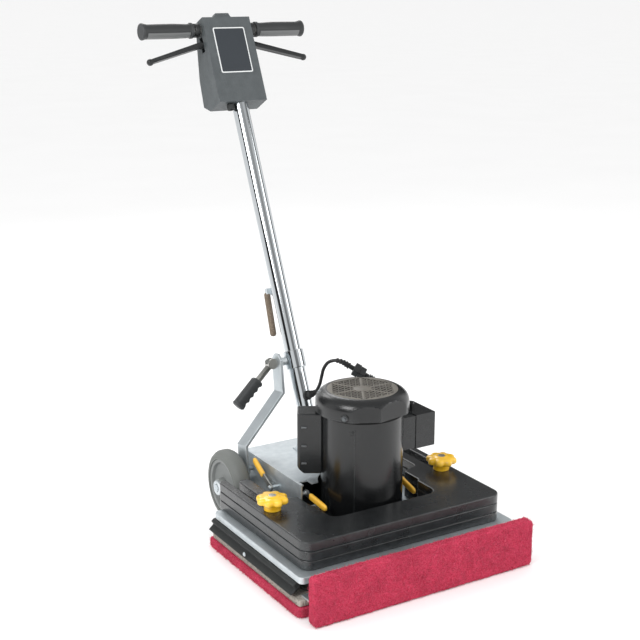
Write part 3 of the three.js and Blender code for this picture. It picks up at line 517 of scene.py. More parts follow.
def pad_finish(name, deep, light, patches):
    """Dyed scrubbing fibre whose colour follows its bump: painted shade, deep, in the hollows and painted
    light, pale, on the raised tufts.
    """
    made, tree, shader = material(name, Specular_IOR_Level=0.08)
    where = own_place(tree)
    tufts = link_node(tree, "ShaderNodeTexNoise", Vector=where, Scale=patches, Detail=6.0, Roughness=0.7)
    # Deep colour where the bump is low, pale where it is high: painted shade and painted light.
    ramp = link_node(tree, "ShaderNodeValToRGB", Fac=tufts.outputs[0])
    ramp.color_ramp.elements[0].position = 0.36
    ramp.color_ramp.elements[0].color = colour(deep)
    ramp.color_ramp.elements[1].position = 0.68
    ramp.color_ramp.elements[1].color = colour(light)
    mottled = place(tree, MOTTLE, Colour=ramp.outputs[0], Scale=26.0, Amount=0.3, Roughness=0.9)
    dress(tree, shader, mottled.outputs["Colour"], mottled.outputs["Roughness"])
    bump(tree, shader, tufts.outputs[0], 0.6, 0.002)
    return made


PLATE_BLACK = plain_finish("plate_enamel", "#141516", 0.26, 0.25, 8.0, (500.0, 0.6), 0.3,
                           "#54585a", 0.8, Coat_Weight=0.3, Coat_Roughness=0.2)
MOTOR_PAINT = plain_finish("motor_enamel", "#111213", 0.2, 0.2, 12.0, (700.0, 0.4), 0.22,
                           "#3e4142", 0.6, Coat_Weight=0.25, Coat_Roughness=0.12,
                           Specular_IOR_Level=0.4)
COVER_PAINT = plain_finish("cover_enamel", "#151617", 0.24, 0.2, 12.0, (800.0, 0.5), 0.3,
                           "#4a4d4e", 0.6, Coat_Weight=0.25, Coat_Roughness=0.12,
                           Specular_IOR_Level=0.4)
# Grey-brown of the grille and the cover's flat top: partly the grille's paint, partly a painted reflection of
# the backdrop on the flat top.
GRILLE_TONE_AND_REFLECTION = plain_finish("grille_tone_and_reflection", "#5c5a56", 0.5, 0.35, 30.0, (700.0, 0.5), 0.3, "#7d776c", 0.8)
# Near black standing in for shade: painted shade inside the fan cover and under its lip.
PAINTED_SHADE_BLACK = plain_finish("painted_shade_black", "#070707", 0.9, 0.3, 30.0, (300.0, 0.5), 0.3)
RUBBER = plain_finish("black_rubber", "#1f2121", 0.62, 0.22, 16.0, (500.0, 0.6), 0.3,
                      "#5b5e5e", 0.5, Specular_IOR_Level=0.35)
BOX_PLASTIC = plain_finish("box_plastic", "#44494b", 0.5, 0.08, 9.0, (620.0, 0.9), 0.55,
                           "#868d90", 0.45)
LABEL_SLATE = plain_finish("label_slate", "#2c3238", 0.45, 0.08, 20.0, (1200.0, 0.2), 0.15)
LABEL_WHITE = plain_finish("label_border", "#dadcdc", 0.5, 0.06, 30.0, (1200.0, 0.2), 0.15)
BLACK_PLASTIC = plain_finish("black_plastic", "#0f1011", 0.36, 0.15, 18.0, (900.0, 0.4), 0.25,
                             "#46494a", 0.5)
GRIP_RUBBER = plain_finish("grip_rubber", "#2d2f30", 0.48, 0.18, 20.0, (700.0, 0.6), 0.35, "#5a5d60", 0.5)
GRIP_UNDER = plain_finish("grip_under", "#6d6f6f", 0.5, 0.12, 20.0, (700.0, 0.5), 0.3)
LEAD_VINYL = plain_finish("lead_vinyl", "#141516", 0.42, 0.15, 26.0, (900.0, 0.3), 0.2)
YELLOW_KNOB = plain_finish("yellow_knob", "#f3bd1b", 0.22, 0.06, 14.0, (500.0, 0.2), 0.12,
                           "#ffe27a", 0.5, Coat_Weight=0.4, Coat_Roughness=0.12)
YELLOW_VINYL = plain_finish("yellow_vinyl", "#eab22c", 0.38, 0.08, 22.0, (600.0, 0.3), 0.2,
                            "#ffdf8a", 0.4, Coat_Weight=0.15)
TYRE_GREY = plain_finish("tyre_grey", "#676a67", 0.6, 0.12, 14.0, (420.0, 0.6), 0.3, "#8e918f", 0.4)
HUB_GREY = plain_finish("hub_plastic", "#737675", 0.48, 0.1, 16.0, (700.0, 0.4), 0.25, "#9a9d9b", 0.5)
ZINC = metal_finish("zinc_plate", "#c6ced2", 0.56, (8, 260, 260))
STEEL = metal_finish("bare_steel", "#a3a39e", 0.38, (260, 260, 8), "#d8d8d4", 0.3)
# On chrome the white edges are a painted highlight.
CHROME = metal_finish("chrome", "#c9ced1", 0.07, (300, 300, 4), "#ffffff", 0.05, 0.005, 0.05,
                       streaks=0.02)
DARK_STEEL = metal_finish("dark_steel", "#55585a", 0.42, (200, 200, 8), "#8a8d90", 0.3)
SLEEVE = speckled_finish("hook_sleeve", "#6a5d4f", "#8d8070", 0.75)
DRIVER_BOARD = speckled_finish("driver_board", "#a39d94", "#77726b", 0.8, 220.0)
PAD_BODY = pad_finish("pad_fibre", "#a3213a", "#d4526d", 420.0)
PAD_TIPS = pad_finish("pad_tips", "#be2f4b", "#e3758b", 300.0)


# ---------------------------------------------------------------- camera
EYE_PLACE = (-1.27198, -1.93737, 1.10545)
LOOKS_DOWN = math.radians(15.133)
LOOKS_RIGHT = math.radians(31.186)
LENS_LENGTH = 70.66
FILM_WIDTH = 36


def camera():
    lens = bpy.data.cameras.new("camera")
    lens.lens = LENS_LENGTH
    lens.sensor_width = FILM_WIDTH
    eye = in_scene("camera", lens)
    eye.location = EYE_PLACE
    eye.rotation_euler = (math.radians(90) - LOOKS_DOWN, 0, -LOOKS_RIGHT)
    bpy.context.scene.camera = eye


# ---------------------------------------------------------------- cords
LEAD_ROUTE = ((0, 197.3, 274.1), (0.3, 192.8, 276.2), (4.2, 186.5, 282.6), (9.5, 181.5, 297),
              (11, 175.5, 317), (12.5, 169, 336), (18.5, 161, 349.5), (29.5, 150.5, 354.5),
              (41, 140, 351), (50.7, 131.9, 343.8))
TAIL_ROUTE = ((109.5, 24.5, 285.3), (104, 31.2, 285.6), (99.5, 41, 288), (98, 54, 293.5),
              (98, 68, 300.5), (97.5, 81, 306.8), (95.3, 92.5, 312.3), (90.6, 102.6, 317.2),
              (83.7, 108.2, 321.5))
LEAD_RADIUS = 3.5 * MM
RELIEF_END = 4.1 * MM
RIB_OUT = 0.8 * MM
RIB_IN = -0.7 * MM


def smooth_route(route, steps=6):
    """An even curve through the route's points."""
    knots = [Vector(p) * MM for p in route]
    knots = [knots[0] * 2 - knots[1]] + knots + [knots[-1] * 2 - knots[-2]]
    points = []
    for a, b, c, d in zip(knots, knots[1:], knots[2:], knots[3:]):
        first, second, third = (b - a).length ** 0.5, (c - b).length ** 0.5, (d - c).length ** 0.5
        leave = ((b - a) / first - (c - a) / (first + second) + (c - b) / second) * second
        arrive = ((c - b) / second - (d - b) / (second + third) + (d - c) / third) * second
        for i in range(steps):
            t = i / steps
            points.append(b * (2 * t ** 3 - 3 * t ** 2 + 1) + leave * (t ** 3 - 2 * t ** 2 + t)
                          + c * (3 * t ** 2 - 2 * t ** 3) + arrive * (t ** 3 - t ** 2))
    return points + [knots[-2]]


def swept(path, radii, sides=20):
    """A round tube whose radius follows the path."""
    rings = []
    across = None
    for i, point in enumerate(path):
        ahead = (path[min(i + 1, len(path) - 1)] - path[max(i - 1, 0)]).normalized()
        start = across or ahead.orthogonal()
        across = (start - ahead * start.dot(ahead)).normalized()
        up = ahead.cross(across)
        rings.append([point + radii[i] * (across * math.cos(math.tau * k / sides)
                                          + up * math.sin(math.tau * k / sides)) for k in range(sides)])
    return loft(rings)


def motor_lead():
    path = smooth_route(LEAD_ROUTE)
    lead = piece("motor_lead_tube", swept(path, [LEAD_RADIUS] * len(path)), LEAD_VINYL, "motor_lead",
                 rides=False)
    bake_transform(lead)


def terminal_tail():
    path = smooth_route(TAIL_ROUTE)
    tail = piece("terminal_tail_tube", swept(path, [LEAD_RADIUS] * len(path)), LEAD_VINYL, "terminal_tail")


def cord_relief(name, path, start, end, fat, node):
    """A ribbed, tapered sleeve over one end of a lead."""
    stretch = path[start:end] if end > start else path[start:end:-1]
    fine = [a.lerp(b, k / 4) for a, b in zip(stretch, stretch[1:]) for k in range(4)] + [stretch[-1]]
    radii = []
    for i in range(len(fine)):
        share = i / (len(fine) - 1)
        radii.append(fat + (RELIEF_END - fat) * share + (RIB_OUT if i % 10 < 6 and share < 0.92 else RIB_IN))
    detail(name, swept(fine, radii, 28), LEAD_VINYL, node, sharp=60)


def cord_reliefs():
    path = smooth_route(LEAD_ROUTE)
    count = len(path)
    cord_relief("lead_relief_plug", path, count - 1, count - 15, 6.2 * MM, "lead_plug")
    cord_relief("lead_relief_handle", path, 0, 13, 6.8 * MM, "lead_grommet")
    path = smooth_route(TAIL_ROUTE)
    count = len(path)
    cord_relief("tail_relief_box", path, 0, 14, 6.0 * MM, "terminal_lid")
    cord_relief("tail_relief_socket", path, count - 1, count - 13, 6.2 * MM, "lead_socket")


# ---------------------------------------------------------------- floor machine: pads and driver
FLOOR_PAD_FIBRES = 230000.0
FRONT_PAD_FIBRES = 130000.0


def fibre_slab(low, high, corner, voxel, depth):
    """A slab of matted fibre: rounded corners, soft edges and a lumpy face."""
    width, length = high.x - low.x, high.y - low.y
    edge = 2.2 * MM
    rings = []
    for inset, height in ((edge, low.z), (0.3 * edge, low.z + 0.3 * edge), (0, low.z + edge),
                          (0, high.z - edge), (0.3 * edge, high.z - 0.3 * edge), (edge, high.z)):
        rings.append([(x + (low.x + high.x) / 2, y + (low.y + high.y) / 2, height) for x, y in
                      rounded(width - 2 * inset, length - 2 * inset, corner - inset, 8)])
    shape = loft(rings)
    mesh = bpy.data.meshes.new("slab")
    mesh.from_pydata([tuple(p) for p in shape[0]], [], shape[1])
    carrier = in_scene("slab_host", mesh)
    remesh = carrier.modifiers.new("even", "REMESH")
    remesh.mode = "VOXEL"
    remesh.voxel_size = voxel
    dense = made_plain(carrier)
    normals = [v.normal.copy() for v in dense.vertices]
    for v, normal in zip(dense.vertices, normals):
        lump = noise.noise(v.co * 60) * 0.5 + noise.noise(v.co * 190) * 0.8 + noise.noise(v.co * 520) * 0.6
        v.co += normal * (lump * depth - 0.4 * depth)
        v.co.z = max(v.co.z, low.z)
    return dense


def fuzz_on(name, dense, wanted, density, node, tree, floor):
    """Grows fibres on the part of a slab where wanted(centre, normal) is true."""
    host = dense.copy()
    bm = bmesh.new()
    bm.from_mesh(host)
    spare = [f for f in bm.faces if not wanted(f.calc_center_median(), f.normal)]
    bmesh.ops.delete(bm, geom=spare, context="FACES")
    bm.to_mesh(host)
    bm.free()
    fibres = grown(name, tree, host, {"Density": density, "Length": 7.5 * MM, "Thickness": 0.24 * MM,
                                      "Seed": 7, "Fibre": PAD_TIPS}, node)
    for v in fibres.data.vertices:
        v.co.z = max(v.co.z, floor)
    return fibres


def scrub_pad(node, slab, wanted, density, tree):
    """A slab and the fibres that stand out of it."""
    low = reach(node)[0].z
    slab.polygons.foreach_set("use_smooth", [True] * len(slab.polygons))
    show(f"{node}_slab", slab, PAD_BODY, node)
    fuzz_on(f"{node}_fibres", slab, lambda centre, normal: centre.z > low + MM and wanted(normal),
                      density, node, tree, low)


def scrub_pads():
    tree = fuzz_tree()
    slab = fibre_slab(*reach("floor_pad"), 12 * MM, 3.4 * MM, 1.3 * MM)
    scrub_pad("floor_pad", slab, lambda normal: abs(normal.z) < 0.9, FLOOR_PAD_FIBRES, tree)
    flat = Matrix(((1, 0, 0, 0), (0, 0, 1, 0), (0, -1, 0, 0), (0, 0, 0, 1)))
    slab = fibre_slab(*reach("front_pad", flat.inverted()), 9 * MM, 2.4 * MM, 1.2 * MM)
    slab.transform(flat.inverted())
    scrub_pad("front_pad", slab, lambda normal: normal.y < 0.4, FRONT_PAD_FIBRES, tree)


def pad_driver():
    softened("pad_driver", DRIVER_BOARD, 1.2 * MM)
    low, high = reach("pad_driver")
    outline = rounded(high.x - low.x, high.y - low.y, 12 * MM, 4)
    centre = (low + high) / 2
    host = bpy.data.meshes.new("driver_edge")
    host.from_pydata([(x + centre.x, y + centre.y, centre.z) for x, y in outline],
                     [(i, (i + 1) % len(outline)) for i in range(len(outline))], [])
    sizes = {"Pitch": 4.6 * MM, "Radius": 1.3 * MM, "Height": 0.86 * (high.z - low.z), "Rib": DRIVER_BOARD}
    grown("driver_ribs", rib_tree(), host, sizes, "pad_driver")


# ---------------------------------------------------------------- motor
FOOT_PROUD = 3 * MM
CAPACITOR_TURN = math.radians(149.3)
COVER_BOSS_TURN = math.radians(-144)
SEAM_TURN = math.radians(-133)
BARREL_SCREW_TURN = math.radians(-137)


def motor_housing():
    low, high = reach("motor_housing", MOTOR)
    foot = high.x
    barrel = foot - FOOT_PROUD
    bottom, top = low.z, high.z
    profile = [(barrel - 3 * MM, bottom), (foot, bottom), (foot, bottom + 12 * MM),
               (foot - MM, bottom + 14 * MM),
               (barrel, bottom + 15 * MM), (barrel, top), (barrel - 3 * MM, top),
               (barrel - 3 * MM, top - 20 * MM), (barrel - 3 * MM, bottom + 20 * MM)]
    piece("motor_barrel", revolve(profile, 96, closed=True), MOTOR_PAINT, "motor_housing", MOTOR,
          bevel=0.5 * MM, segments=2)


def hexagon_reach(turn, size):
    """Distance from the middle to the side of a hexagon in one direction."""
    return size * math.cos(math.radians(30)) / math.cos(turn % math.radians(60) - math.radians(30))


def grille_tree():
    """Square bars along the edges of a lattice."""
    tree, given = new_tree("lattice_bars", (("Bar", "Float"), ("Deep", "Float"), ("Paint", "Material")))
    path = link_node(tree, "GeometryNodeMeshToCurve", Mesh=given["Geometry"])
    outline = link_node(tree, "GeometryNodeCurvePrimitiveQuadrilateral", Width=given["Bar"],
                        Height=given["Deep"])
    bars = link_node(tree, "GeometryNodeCurveToMesh", {}, Curve=path.outputs[0],
                     Profile_Curve=outline.outputs[0], Fill_Caps=True)
    return end_tree(tree, bars.outputs[0], given["Paint"])


COVER_SHOULDER = 24 * MM
COVER_FACETS = ((-115.5, 0.946), (-79.0, 0.92))     # direction in degrees, share of the radius


def fan_cover():
    low, high = reach("fan_cover", MOTOR)
    radius, bottom, top = high.x, low.z, high.z
    shoulder = COVER_SHOULDER
    sides = 144
    rows = [(radius - 2.5 * MM, bottom), (radius, bottom), (radius, bottom + 2 * MM)]
    rows += [(radius, top - shoulder - 2 * MM)]
    rows += [(radius - shoulder * (1 - math.cos(math.radians(a))),
              top - shoulder + shoulder * math.sin(math.radians(a))) for a in range(6, 91, 6)]
    grille = 0.73 * radius
    points, faces = revolve(rows, sides)
    for i, p in enumerate(points):
        for angle, share in COVER_FACETS:
            way = Vector((math.cos(math.radians(angle)), math.sin(math.radians(angle)), 0))
            over = p.dot(way) - share * radius
            if over > 0:
                points[i] = p = p - way * over
    last = len(points) - sides
    for height, size in ((top, grille), (top - 5 * MM, grille)):
        for i in range(sides):
            turn = math.tau * i / sides
            out = hexagon_reach(turn, size)
            points.append(Vector((out * math.cos(turn), out * math.sin(turn), height)))
    for start in (last, last + sides):
        for i in range(sides):
            j = (i + 1) % sides
            faces.append([start + i, start + j, start + sides + j, start + sides + i])
    piece("fan_cover_shell", (points, faces), COVER_PAINT, "fan_cover", MOTOR, sharp=12)
    # A dark disc under the grille: painted shade seen through the holes.
    detail("fan_cover_painted_shade", revolve([(0, top - 9 * MM), (grille + 4 * MM, top - 9 * MM),
                                        (grille + 4 * MM, top - 7 * MM), (0, top - 7 * MM)], 48),
           PAINTED_SHADE_BLACK, "fan_cover", MOTOR)
    lattice(grille, top)
    # A flat ring over the cover's top, lighter than the cover's paint: a painted reflection of the backdrop.
    plate = []
    flat = radius - shoulder
    for lift, out in ((0.15, 0.0), (0.15, flat + MM), (-0.4, flat + 2 * MM), (-0.9, 0.0)):
        for i in range(sides):
            turn = math.tau * i / sides
            reached = out or hexagon_reach(turn, grille + 0.4 * MM)
            plate.append(Vector((reached * math.cos(turn), reached * math.sin(turn), top + lift * MM)))
    skin = [[k * sides + i, k * sides + (i + 1) % sides, (k + 1) % 4 * sides + (i + 1) % sides,
             (k + 1) % 4 * sides + i] for k in range(4) for i in range(sides)]
    detail("fan_cover_reflection_plate", (plate, skin), GRILLE_TONE_AND_REFLECTION, "fan_cover", MOTOR)
    boss = Matrix.Translation(MOTOR.translation) @ Matrix.Rotation(COVER_BOSS_TURN, 4, "Z")
    lug = revolve([(0, 0), (8 * MM, 0), (8 * MM, 3 * MM), (6.5 * MM, 4.5 * MM), (0, 4.5 * MM)], 28)
    outward = boss @ turned_to((1, 0, 0), (radius - 1.5 * MM, 0, bottom + 8 * MM))
    detail("fan_cover_boss", lug, COVER_PAINT, "fan_cover", outward)
    detail("fan_cover_screw", hex_bolt(4 * MM, 4.5 * MM, 5.5 * MM), DARK_STEEL, "fan_cover",
           outward @ Matrix.Translation((0, 0, 3.6 * MM)), bevel=0.3 * MM, segments=2)


def lattice(size, top):
    """The grille: six sectors of triangular holes round a solid hub."""
    rows = 5
    cell = size / rows
    hub_rows = 1.5
    tree = grille_tree()
    points, index, edges, spokes = [], {}, [], []
    for a in range(-rows, rows + 1):
        for b in range(-rows, rows + 1):
            if abs(a + b) <= rows:
                index[a, b] = len(points)
                knot = Vector((cell * (a + b / 2), cell * b * math.sqrt(3) / 2, top - 0.8 * MM))
                points.append(MOTOR @ knot)
    for (a, b), i in index.items():
        for step in ((1, 0), (0, 1), (-1, 1)):
            j = index.get((a + step[0], b + step[1]))
            if j is not None:
                edges.append((i, j))
    corners = ((1, 0), (0, 1), (-1, 1), (-1, 0), (0, -1), (1, -1))
    for a, b in corners:
        spokes.append((index[a, b], index[a * rows, b * rows]))
    for name, rods, bar, deep in (("bars", edges, 2.5, 0.7), ("spokes", spokes, 6.4, 0.8)):
        host = bpy.data.meshes.new(f"grille_{name}")
        host.from_pydata([tuple(p) for p in points], rods, [])
        sizes = {"Bar": bar * MM, "Deep": deep * MM, "Paint": GRILLE_TONE_AND_REFLECTION}
        grown(f"fan_cover_{name}", tree, host, sizes, "fan_cover")
    out = cell * hub_rows
    hub = revolve([(0, top - 1.4 * MM), (out, top - 1.4 * MM), (out, top - 0.7 * MM),
                   (out - 0.6 * MM, top - 0.3 * MM), (0, top - 0.3 * MM)], 6)
    detail("fan_cover_hub", hub, GRILLE_TONE_AND_REFLECTION, "fan_cover", MOTOR)


def motor_details():
    """A painted shade ring under the fan cover's lip, a lengthwise seam and a small screw on the barrel."""
    low, high = reach("motor_housing", MOTOR)
    barrel = high.x - FOOT_PROUD
    lip = reach("fan_cover")[0].z
    inner, outer, foot = barrel - MM, barrel + 0.4 * MM, lip - 5.5 * MM
    # A dark ring just under the fan cover's lip: painted shade where the cover overhangs the barrel.
    joint = revolve([(inner, foot), (outer, foot), (outer, lip), (inner, lip)], 96, closed=True)
    detail("motor_lip_painted_shade", joint, PAINTED_SHADE_BLACK, "motor_housing", MOTOR)
    seam = MOTOR @ Matrix.Rotation(SEAM_TURN, 4, "Z")
    strip = box((barrel - MM, -1.4 * MM, low.z + 18 * MM), (barrel + 0.7 * MM, 1.4 * MM, high.z - 20 * MM))
    detail("motor_seam", strip, MOTOR_PAINT, "motor_housing", seam, bevel=0.6 * MM)
    spot = (MOTOR @ Matrix.Rotation(BARREL_SCREW_TURN, 4, "Z")
            @ turned_to((1, 0, 0), (barrel - 0.2 * MM, 0, high.z - 27 * MM)))
    detail("motor_screw", hex_bolt(3.4 * MM, 2.6 * MM, 4.6 * MM), MOTOR_PAINT, "motor_housing", spot,
           bevel=0.3 * MM, segments=2)


def capacitor_cover():
    softened("capacitor_cover", MOTOR_PAINT, 3 * MM, 4)
    turn = MOTOR @ Matrix.Rotation(CAPACITOR_TURN, 4, "Z")
    low, high = reach("capacitor_cover", turn)
    wide, tall = high.x - low.x, high.z - low.z
    # The slats are lighter than the cover's black: their steel tone is a painted highlight for the glints on
    # their lips.
    for k, share in enumerate((0.16, 0.45, 0.76)):
        height = low.z + tall * share
        slat = box((low.x + 0.64 * wide, high.y - 1.5 * MM, height),
                   (low.x + 0.84 * wide, high.y + 2.2 * MM, height + 4.4 * MM))
        detail(f"capacitor_louvre_{k + 1}", slat, DARK_STEEL, "capacitor_cover", turn,
               bevel=0.9 * MM)


def terminal_box():
    softened("terminal_box", MOTOR_PAINT, 2 * MM)
    softened("terminal_lid", MOTOR_PAINT, 2.5 * MM, 4)
    low, high = reach("terminal_lid")
    body_top = low.z + 70 * MM
    for k, (y, z) in enumerate(((low.y + 8 * MM, low.z + 8 * MM), (high.y - 8 * MM, body_top - 8 * MM))):
        detail(f"terminal_screw_{k + 1}", hex_bolt(3 * MM, 3 * MM, 4 * MM), ZINC, "terminal_lid",
               turned_to((1, 0, 0), (high.x - 0.2 * MM, y, z)), bevel=0.2 * MM, segments=2)


def terminal_cap():
    """A blanking cap on top of the terminal box, its lighter steel tone a painted highlight."""
    low, high = reach("terminal_box")
    size = high - low
    spot = Matrix.Translation((low.x + 0.62 * size.x, low.y + 0.4 * size.y, high.z - 0.5 * MM))
    cap = revolve([(0, 0), (6.5 * MM, 0), (6.5 * MM, 2.4 * MM), (5 * MM, 4 * MM), (0, 4.4 * MM)], 36)
    detail("terminal_cap", cap, DARK_STEEL, "terminal_box", spot)


# ---------------------------------------------------------------- deck, weights and chassis
def deck():
    for node, edge in (("deck_tray", 1.4), ("chassis", 1.2), ("front_pad_holder", 0.9)):
        softened(node, ZINC, edge * MM)
    for k in (1, 2, 3):
        softened(f"weight_plate_{k}", PLATE_BLACK, 2.2 * MM, 4)
    for side, sign in SIDES:
        softened(f"skirt_{side}", RUBBER, 3 * MM, 4)
        for end in ("front", "rear"):
            softened(f"rubber_mount_{end}_{side}", RUBBER, 0.8 * MM)
        low, high = reach(f"skirt_{side}")
        face = high.x if sign > 0 else low.x
        where = turned_to((sign, 0, 0), (face - sign * 0.6 * MM, low.y + 0.53 * (high.y - low.y),
                                         low.z + 0.45 * (high.z - low.z)))
        detail(f"skirt_screw_{side}", hex_bolt(3.2 * MM, 2.6 * MM, 4.4 * MM), ZINC,
               f"skirt_{side}", where, bevel=0.3 * MM, segments=2)


def chassis_bolts():
    """Bolts through the handle bracket's flange, and a dark steel web across the chassis behind the motor
    whose dark tone is painted shade.
    """
    low, high = reach("pivot_bracket")
    centre = pivot("handle_tilt").y
    for side, sign in SIDES:
        for end, lift in (("front", -15 * MM), ("rear", 15 * MM)):
            spot = Matrix.Translation((sign * (high.x - 7.5 * MM), centre + lift, low.z + 3 * MM))
            detail(f"bracket_bolt_{side}_{end}", hex_bolt(5 * MM, 5 * MM, 6.8 * MM), ZINC, "pivot_bracket",
                   spot, bevel=0.4 * MM)
    low, high = reach("chassis")
    # The web's dark steel is painted shade for the space under the top sheet behind the motor.
    web = box((-116.4 * MM, 93 * MM, low.z + 2 * MM), (116.4 * MM, 95 * MM, high.z - 3.2 * MM))
    detail("chassis_web", web, DARK_STEEL, "chassis", bevel=0.4 * MM)


def knobs():
    """Domed knobs with eight round lobes and a bright steel insert."""
    for side, _ in SIDES:
        node = f"knob_{side}"
        low, high = reach(node)
        spot = Matrix.Translation(((low.x + high.x) / 2, (low.y + high.y) / 2, 0))
        radius = (high.x - low.x) / 2
        crown = high.z
        sides, points, faces = 96, [], []
        rows = ((0.53, low.z), (0.55, crown - 17 * MM), (0.72, crown - 15.5 * MM), (0.93, crown - 14.5 * MM),
                (1.0, crown - 12 * MM), (1.0, crown - 7 * MM), (0.95, crown - 4 * MM),
                (0.84, crown - 2.4 * MM), (0.62, crown - 1.6 * MM), (0.46, crown - 1.4 * MM),
                (0.40, crown - 0.2 * MM),
                (0.30, crown), (0.20, crown))
        for share, height in rows:
            for i in range(sides):
                turn = math.tau * i / sides
                wave = 0.5 - 0.5 * math.cos(8 * turn)
                lobe = 1 - 0.17 * wave ** 1.3 * max(0.0, min(1.0, (share - 0.6) / 0.3))
                out = share * radius * lobe
                points.append(Vector((out * math.cos(turn), out * math.sin(turn), height)))
        for k in range(len(rows) - 1):
            for i in range(sides):
                j = (i + 1) % sides
                faces.append([k * sides + i, k * sides + j, (k + 1) * sides + j, (k + 1) * sides + i])
        faces += [list(range(sides))[::-1], [len(points) - sides + i for i in range(sides)]]
        piece(f"{node}_head", (points, faces), YELLOW_KNOB, node, spot, sharp=50)
        insert = revolve([(0, crown - MM), (0.24 * radius, crown - MM), (0.24 * radius, crown + 0.2 * MM),
                          (0.2 * radius, crown + 0.4 * MM), (0, crown + 0.4 * MM)], 32)
        detail(f"{node}_insert", insert, STEEL, node, spot)


def latch(node, joint, bar_share):
    """A steel lever bar with a soft yellow sleeve."""
    hinge = pivot(joint)
    low, high = reach(node)
    centre = (low + high) / 2
    along = Vector((0, centre.y - hinge.y, centre.z - hinge.z)).normalized()
    frame_here = axes_at(hinge, ACROSS, along.cross(ACROSS), along)
    low, high = reach(node, frame_here)
    thick = (high.x - low.x) / 2
    middle_x = (high.x + low.x) / 2
    split = high.z * bar_share
    bar = []
    for z, half in ((-7 * MM, 4 * MM), (-4.5 * MM, 7 * MM), (4 * MM, 7.5 * MM), (10 * MM, 6 * MM),
                    (split + 6 * MM, 5.4 * MM)):
        bar.append([(middle_x - 1.6 * MM, -half, z), (middle_x + 1.6 * MM, -half, z),
                    (middle_x + 1.6 * MM, half, z), (middle_x - 1.6 * MM, half, z)])
    piece(f"{node}_bar", loft(bar), STEEL, node, frame_here, bevel=0.6 * MM)
    rings = []
    wide = min(thick, 4.2 * MM)
    tall = (high.y - low.y) / 2
    for z, share in ((split, 0.74), (split + MM, 0.92), (split + 3 * MM, 1.0), (0.86 * high.z, 0.98),
                     (0.95 * high.z, 0.86), (0.985 * high.z, 0.62), (high.z, 0.3)):
        rings.append([(middle_x + wide * share * math.copysign(abs(math.cos(t)) ** 0.7, math.cos(t)),
                       tall * 0.86 * share * math.copysign(abs(math.sin(t)) ** 0.7, math.sin(t)), z)
                      for t in (math.tau * i / 28 for i in range(28))])
    piece(f"{node}_sleeve", loft(rings), YELLOW_VINYL, node, frame_here, sharp=50)
    rivet = revolve([(0, -3.4 * MM), (4.6 * MM, -3.4 * MM), (5.2 * MM, -2.4 * MM), (5.2 * MM, 2.4 * MM),
                     (4.6 * MM, 3.4 * MM), (0, 3.4 * MM)], 28)
    detail(f"{node}_rivet", rivet, ZINC, node, frame_here @ turned_to((1, 0, 0), (middle_x, 0, 0)))


def latches():
    for side, _ in SIDES:
        latch(f"latch_rear_{side}", f"latch_rear_turn_{side}", 0.42)
        latch(f"latch_front_{side}", f"latch_front_turn_{side}", 0.22)


RIM_DEPTH = 18 * MM


def wheels():
    """Crowned tyres on a moulded hub with a zinc bearing boss."""
    softened("axle", ZINC, 0.8 * MM)
    for side, sign in SIDES:
        tyre = f"tyre_{side}"
        low, high = reach(tyre)
        radius = (high.z - low.z) / 2
        inner = min(abs(low.x), abs(high.x))
        wide = high.x - low.x
        spot = turned_to((sign, 0, 0), (0, (low.y + high.y) / 2, (low.z + high.z) / 2))
        rim = radius - RIM_DEPTH
        half = [(rim, inner), (rim + 2 * MM, inner), (rim + 4 * MM, inner + 1.2 * MM),
                (rim + 6 * MM, inner + 0.6 * MM), (rim + 9 * MM, inner + 1.6 * MM),
                (rim + 13 * MM, inner + 4 * MM),
                (radius - 2 * MM, inner + 8.5 * MM), (radius - 0.4 * MM, inner + 12 * MM),
                (radius, inner + wide / 2)]
        mirror = [(r, 2 * inner + wide - z) for r, z in reversed(half[:-1])]
        piece(f"{tyre}_tread", revolve(half + mirror, 120, closed=True), TYRE_GREY, tyre, spot, sharp=60)
        hub = f"wheel_hub_{side}"
        boss_end = max(abs(c.x) for c in reach(hub))
        face = inner + wide
        profile = [(9.5 * MM, inner), (19 * MM, inner), (19 * MM, inner + 9 * MM),
                   (rim - 9 * MM, inner + 10 * MM),
                   (rim - 7 * MM, inner + 3 * MM), (rim - 0.4 * MM, inner + 2 * MM),
                   (rim - 0.4 * MM, face - 2 * MM), (rim - 3 * MM, face - 1.4 * MM),
                   (rim - 7 * MM, face - 3 * MM),
                   (rim - 9.5 * MM, face - 9 * MM), (0.55 * rim, face - 11 * MM), (22 * MM, face - 8 * MM),
                   (19 * MM, face - 6 * MM), (18 * MM, face + 0.6 * (boss_end - face)),
                   (9.5 * MM, face + 0.6 * (boss_end - face))]
        piece(f"{hub}_disc", revolve(profile, 96, closed=True), HUB_GREY, hub, spot, sharp=34)
        ferrule = [(8.7 * MM, face - 2 * MM), (15.5 * MM, face - 2 * MM), (15.5 * MM, boss_end - 1.2 * MM),
                   (14.4 * MM, boss_end), (8.7 * MM, boss_end)]
        detail(f"{hub}_boss", revolve(ferrule, 64, closed=True), ZINC, hub, spot)


# ---------------------------------------------------------------- handle
COLLAR_RADIUS = 22 * MM
SHELL_FOOT = 8 * MM
SHELL_PROUD = 0.05 * MM


